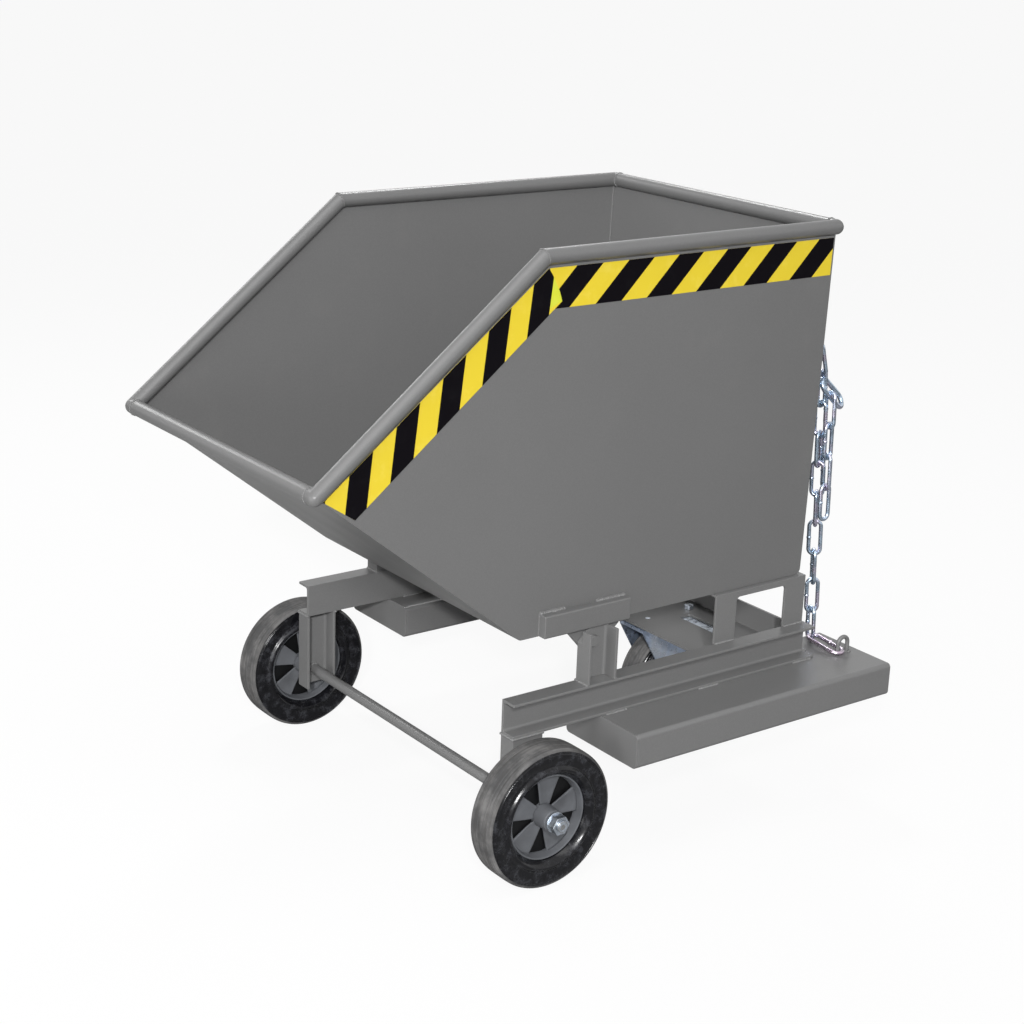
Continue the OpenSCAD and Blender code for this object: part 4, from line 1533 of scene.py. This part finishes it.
@dataclass
class SafetyChain:
    """The chain from the eye on the left pocket up behind the skip."""

    tree: GrowTree
    bar: float = 3.75 * MM
    inside: float = 57.8 * MM
    width: float = 14 * MM
    play: float = 0.2 * MM
    bend_gap: float = 0.05 * MM
    lean: float = math.radians(2.96)
    hook_lean: float = math.radians(12)
    foot: Vector = field(default_factory=lambda: Vector((533.25, -285, 252.55)) * MM)
    turns: tuple[int, ...] = (-14, 64, -34, 48, -50, 32, -66, 16, -82, 0)
    tail_turns: tuple[int, ...] = (0, 102, -10, 92)
    tail_at: float = 38 * MM
    tail_lift: float = 12.4 * MM
    tail_lean: float = math.radians(3)
    tail_shift: float = 3 * MM
    tail_slant: float = math.radians(1.2)
    ring_dip: float = math.radians(42)
    ring_roll: float = math.radians(54)
    ring_bar: float = 4.6 * MM
    ring_length: float = 83 * MM
    ring_width: float = 37 * MM
    ring_drop: float = 4 * MM
    ring_nub: float = 1.02
    quick_bar: float = 4 * MM
    quick_width: float = 25 * MM
    quick_bend: float = 12.4 * MM
    quick_nub: float = 1.3

    def __post_init__(self) -> None:
        """Works out the spacing and the link sizes that the fields lead to."""
        self.half = self.inside / 2 + self.bar
        self.step = self.inside - self.play
        self.up = Matrix.Rotation(-self.lean, 4, "Y")
        self.hook_rise = self.step * (len(self.turns) - 1)
        self.sizes = {
            "Bar_Radius": self.bar,
            "Length": self.inside + 2 * self.bar,
            "Width": self.width + 2 * self.bar,
            "End_Radius": self.width / 2 + self.bar - self.bend_gap,
        }

    def links(
        self,
        name: str,
        places: list[tuple[Vector, Matrix]],
        body: str,
        stands_for: Sequence[str],
        coat: Coating = CHAIN_ZINC,
        **sizes: float,
    ) -> None:
        """Grows links at given places.

        Args:
            name: The piece's name.
            places: Middle and turn of each link.
            body: The body that they move with.
            stands_for: Nodes that they replace.
            coat: Their finish.
            **sizes: Inputs of the link tree.
        """
        shape = bmesh.new()
        for spot, _ in places:
            shape.verts.new(spot)
        piece = mesh_object(name, shape)
        turn = piece.data.attributes.new("turn", "FLOAT_VECTOR", "POINT")
        stand = Matrix.Rotation(math.pi / 2, 4, "X")
        for i, (_, matrix) in enumerate(places):
            turn.data[i].vector = (matrix @ stand).to_euler("XYZ")
        self.tree.grow(piece, coat, **sizes)
        fit_out(piece, body, coat, stands_for)

    @staticmethod
    def turned(degrees: float) -> Matrix:
        """A link's turn about the run, from its angle in degrees."""
        return Matrix.Rotation(math.radians(degrees + 90), 4, "Z")

    def on_run(self, rise: float) -> Vector:
        """A point of the run, by its distance from the foot."""
        return self.foot + self.up @ Vector((0, 0, rise))

    def run(self) -> None:
        """The long run of links and the one that hangs on the peg."""
        places = [
            (self.on_run(self.half + i * self.step), self.up @ self.turned(turn))
            for i, turn in enumerate(self.turns[:-1])
        ]
        hook = Matrix.Rotation(-self.lean - self.hook_lean, 4, "Y")
        top = self.on_run(self.hook_rise) + hook @ Vector((0, 0, self.half))
        places.append((top, hook @ self.turned(self.turns[-1])))
        self.links("chain_links", places, "chain", ["chain_run"], **self.sizes)

    def ring_and_tail(self) -> None:
        """The oval ring part way up and the links that hang from it."""
        root = self.on_run(self.hook_rise - 2 * self.bar - self.ring_drop)
        dip, roll = self.ring_dip, self.ring_roll
        aim = Vector((math.cos(dip), 0, -math.sin(dip)))
        ring_turn = Matrix.Rotation(math.pi / 2 + dip, 4, "Y") @ Matrix.Rotation(math.pi / 2 + roll, 4, "Z")
        long_side = self.ring_length - 2 * self.ring_bar
        across = self.ring_width - 2 * self.ring_bar
        self.links(
            "chain_ring",
            [(root + aim * (long_side / 2), ring_turn)],
            "chain",
            ["chain_oval"],
            Bar_Radius=self.ring_bar,
            Length=long_side,
            Width=across,
            End_Radius=across / 2 - self.bend_gap,
            Nub=self.ring_nub,
        )
        side = Vector((math.sin(roll) * math.sin(dip), math.cos(roll), math.sin(roll) * math.cos(dip)))
        moved = Vector((-self.tail_shift, 0, self.tail_lift))
        top = root + aim * self.tail_at - side * (across / 2) + moved
        tilt = Matrix.Rotation(self.tail_slant, 4, "Y") @ Matrix.Rotation(-self.tail_lean, 4, "X")
        places = [
            (top + tilt @ Vector((0, 0, -self.half - i * self.step)), tilt @ self.turned(turn))
            for i, turn in enumerate(self.tail_turns)
        ]
        self.links("chain_tail_links", places, "chain", ["chain_tail"], **self.sizes)

    def quick_link(self) -> None:
        """The link that lies on the pocket, from its place in the model."""
        low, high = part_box("quick_link")
        flat = high.y - low.y - 2 * self.quick_bar
        rise = high.z - low.z - 2 * self.quick_bar
        self.links(
            "quick_link_dressed",
            [((low + high) / 2, Matrix.Rotation(math.pi / 2 + math.atan2(rise, flat), 4, "X"))],
            "chassis",
            ["quick_link"],
            PINK_ZINC,
            Bar_Radius=self.quick_bar,
            Length=math.hypot(flat, rise),
            Width=self.quick_width,
            End_Radius=self.quick_bend,
            Nub=self.quick_nub,
        )

    def build(self) -> None:
        """Makes the run, the oval ring, the tail and the quick link."""
        self.run()
        self.ring_and_tail()
        self.quick_link()


@dataclass(frozen=True)
class Lamp:
    """A rectangular lamp: its place, its width and height, and its watts."""

    name: str
    spot: Place
    size: Pair
    power: float


def aimed(aim: Vector, place: Sequence[float] = (0.0, 0.0, 0.0)) -> Matrix:
    """The place and turn of a light that shines along a direction."""
    return Matrix.Translation(place) @ aim.to_track_quat("-Z", "Y").to_matrix().to_4x4()


@dataclass
class Studio:
    """Camera at the photograph's angle, pale floor, white surroundings, a sun and lamps."""

    eye: Vector = field(default_factory=lambda: Vector((-2.01331, -2.71070, 1.60708)))
    right: Vector = field(default_factory=lambda: Vector((0.8094, -0.5863, 0.0322)))
    up: Vector = field(default_factory=lambda: Vector((0.1518, 0.2620, 0.9531)))
    back: Vector = field(default_factory=lambda: Vector((-0.5672, -0.7666, 0.3010)))
    lens: float = 68.89
    sensor: float = 36.0
    shift: Pair = (0.01618, -0.0147)
    far: float = 500.0
    ambient: float = 0.1
    floor_size: float = 160.0
    floor_bounce: float = 0.42
    floor_shown: float = 0.9
    floor_glow: float = 0.91
    sun_power: float = 1.95
    sun_angle: float = math.radians(3)
    sun_from: Place = (-0.55, -0.73, 0.41)
    target: Place = (0.1, 0.0, 0.55)
    lamps: tuple[Lamp, ...] = (
        Lamp("flash", (-1.93, -2.7, 2.02), (0.3, 0.3), 56.0),
        Lamp("overhead", (-0.8, -1.0, 3.4), (2.0, 2.0), 32.0),
        Lamp("behind", (1.5, 1.9, 3.0), (0.8, 0.6), 30.0),
        Lamp("edges", (-0.5, 3.2, 2.4), (1.3, 0.8), 20.0),
        Lamp("front", (-3.4, -0.6, 0.7), (1.6, 1.2), 40.0),
    )

    def camera(self) -> None:
        """Creates the camera and makes it the scene's."""
        data = bpy.data.cameras.new("Camera")
        data.sensor_width = self.sensor
        data.lens = self.lens
        data.shift_x, data.shift_y = self.shift
        data.clip_end = self.far
        data.dof.use_dof = False
        camera = scene_object("Camera", data)
        turn = Matrix((self.right, self.up, self.back)).transposed().to_quaternion()
        camera.matrix_world = Matrix.Translation(self.eye) @ turn.to_matrix().to_4x4()
        bpy.context.scene.camera = camera

    def world(self) -> None:
        """Surroundings that look white and light the trolley a little from all sides."""
        world = bpy.data.worlds.new("Surroundings")
        bpy.context.scene.world = world
        world.use_nodes = True
        t = TreeWriter(world.node_tree)
        path = t.add("ShaderNodeLightPath").outputs
        seen = path["Is Camera Ray"]
        for name in ("Is Glossy Ray", "Is Transmission Ray"):
            seen = t.calc("MAXIMUM", seen, path[name])
        lit = t.step("ShaderNodeBackground", {"Color": WHITE, "Strength": self.ambient})
        shown = t.step("ShaderNodeBackground", {"Color": WHITE})
        t.end("ShaderNodeOutputWorld", t.step("ShaderNodeMixShader", {0: seen, 1: lit, 2: shown}))

    def floor(self) -> None:
        """A plain pale floor that keeps the trolley's shadow."""
        shape = bmesh.new()
        bmesh.ops.create_grid(shape, x_segments=1, y_segments=1, size=self.floor_size / 2)
        floor = mesh_object("floor", shape)
        material = bpy.data.materials.new("Pale floor")
        material.use_nodes = True
        t = TreeWriter(material.node_tree)
        seen = t.step("ShaderNodeLightPath", {}, "Is Camera Ray")
        tones = {"Value": seen, "To Min": self.floor_bounce, "To Max": self.floor_shown}
        matt = t.step("ShaderNodeBsdfDiffuse", {"Color": t.step("ShaderNodeMapRange", tones)})
        glow = t.step("ShaderNodeEmission", {"Color": WHITE})
        share = t.calc("MULTIPLY", seen, self.floor_glow)
        t.end("ShaderNodeOutputMaterial", t.step("ShaderNodeMixShader", {0: share, 1: matt, 2: glow}))
        floor.data.materials.append(material)
        floor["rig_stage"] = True

    def lights(self) -> None:
        """The sun, from beside the camera and a little above it, and the lamps round the trolley."""
        sun = bpy.data.lights.new("main", "SUN")
        sun.energy = self.sun_power
        sun.angle = self.sun_angle
        scene_object("main", sun).matrix_world = aimed(-Vector(self.sun_from))
        for lamp in self.lamps:
            data = bpy.data.lights.new(lamp.name, "AREA")
            data.shape = "RECTANGLE"
            data.size, data.size_y = lamp.size
            data.energy = lamp.power
            spot = Vector(lamp.spot)
            scene_object(lamp.name, data).matrix_world = aimed(Vector(self.target) - spot, spot)

    def build(self) -> None:
        """Sets up everything round the trolley."""
        bpy.context.scene.view_settings.view_transform = "Standard"
        self.camera()
        self.world()
        self.floor()
        self.lights()


def write_sizes() -> None:
    """Works out the model's box and the dressed trolley's box, which are not kept."""
    boxes = {"cad": CAD_BOX, "visual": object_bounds()}
    {k: [list(low), list(high)] for k, (low, high) in boxes.items()}


def main() -> None:
    """Builds the studio and dresses every sub-assembly."""
    logging.basicConfig(level=logging.INFO, format="%(name)s %(message)s")
    Studio().build()
    steel = RoundedSteel()
    beads, links, radial = bead_tree(), link_tree(), radial_tree()
    Chassis(steel, beads).build()
    Skip(steel, beads).build()
    for side in Side:
        HazardTape(side).build()
    for side in Side:
        word = side.word
        Wheel(f"front_{word}", f"front_tyre_{word}", f"front_rim_{word}", side, radial).build()
    Caster(steel, radial).build()
    paint_nodes(["front_sleeve_left", "front_sleeve_right"], BRIGHT_ZINC)
    SafetyChain(links).build()
    write_sizes()


if __name__ == "__main__":
    main()
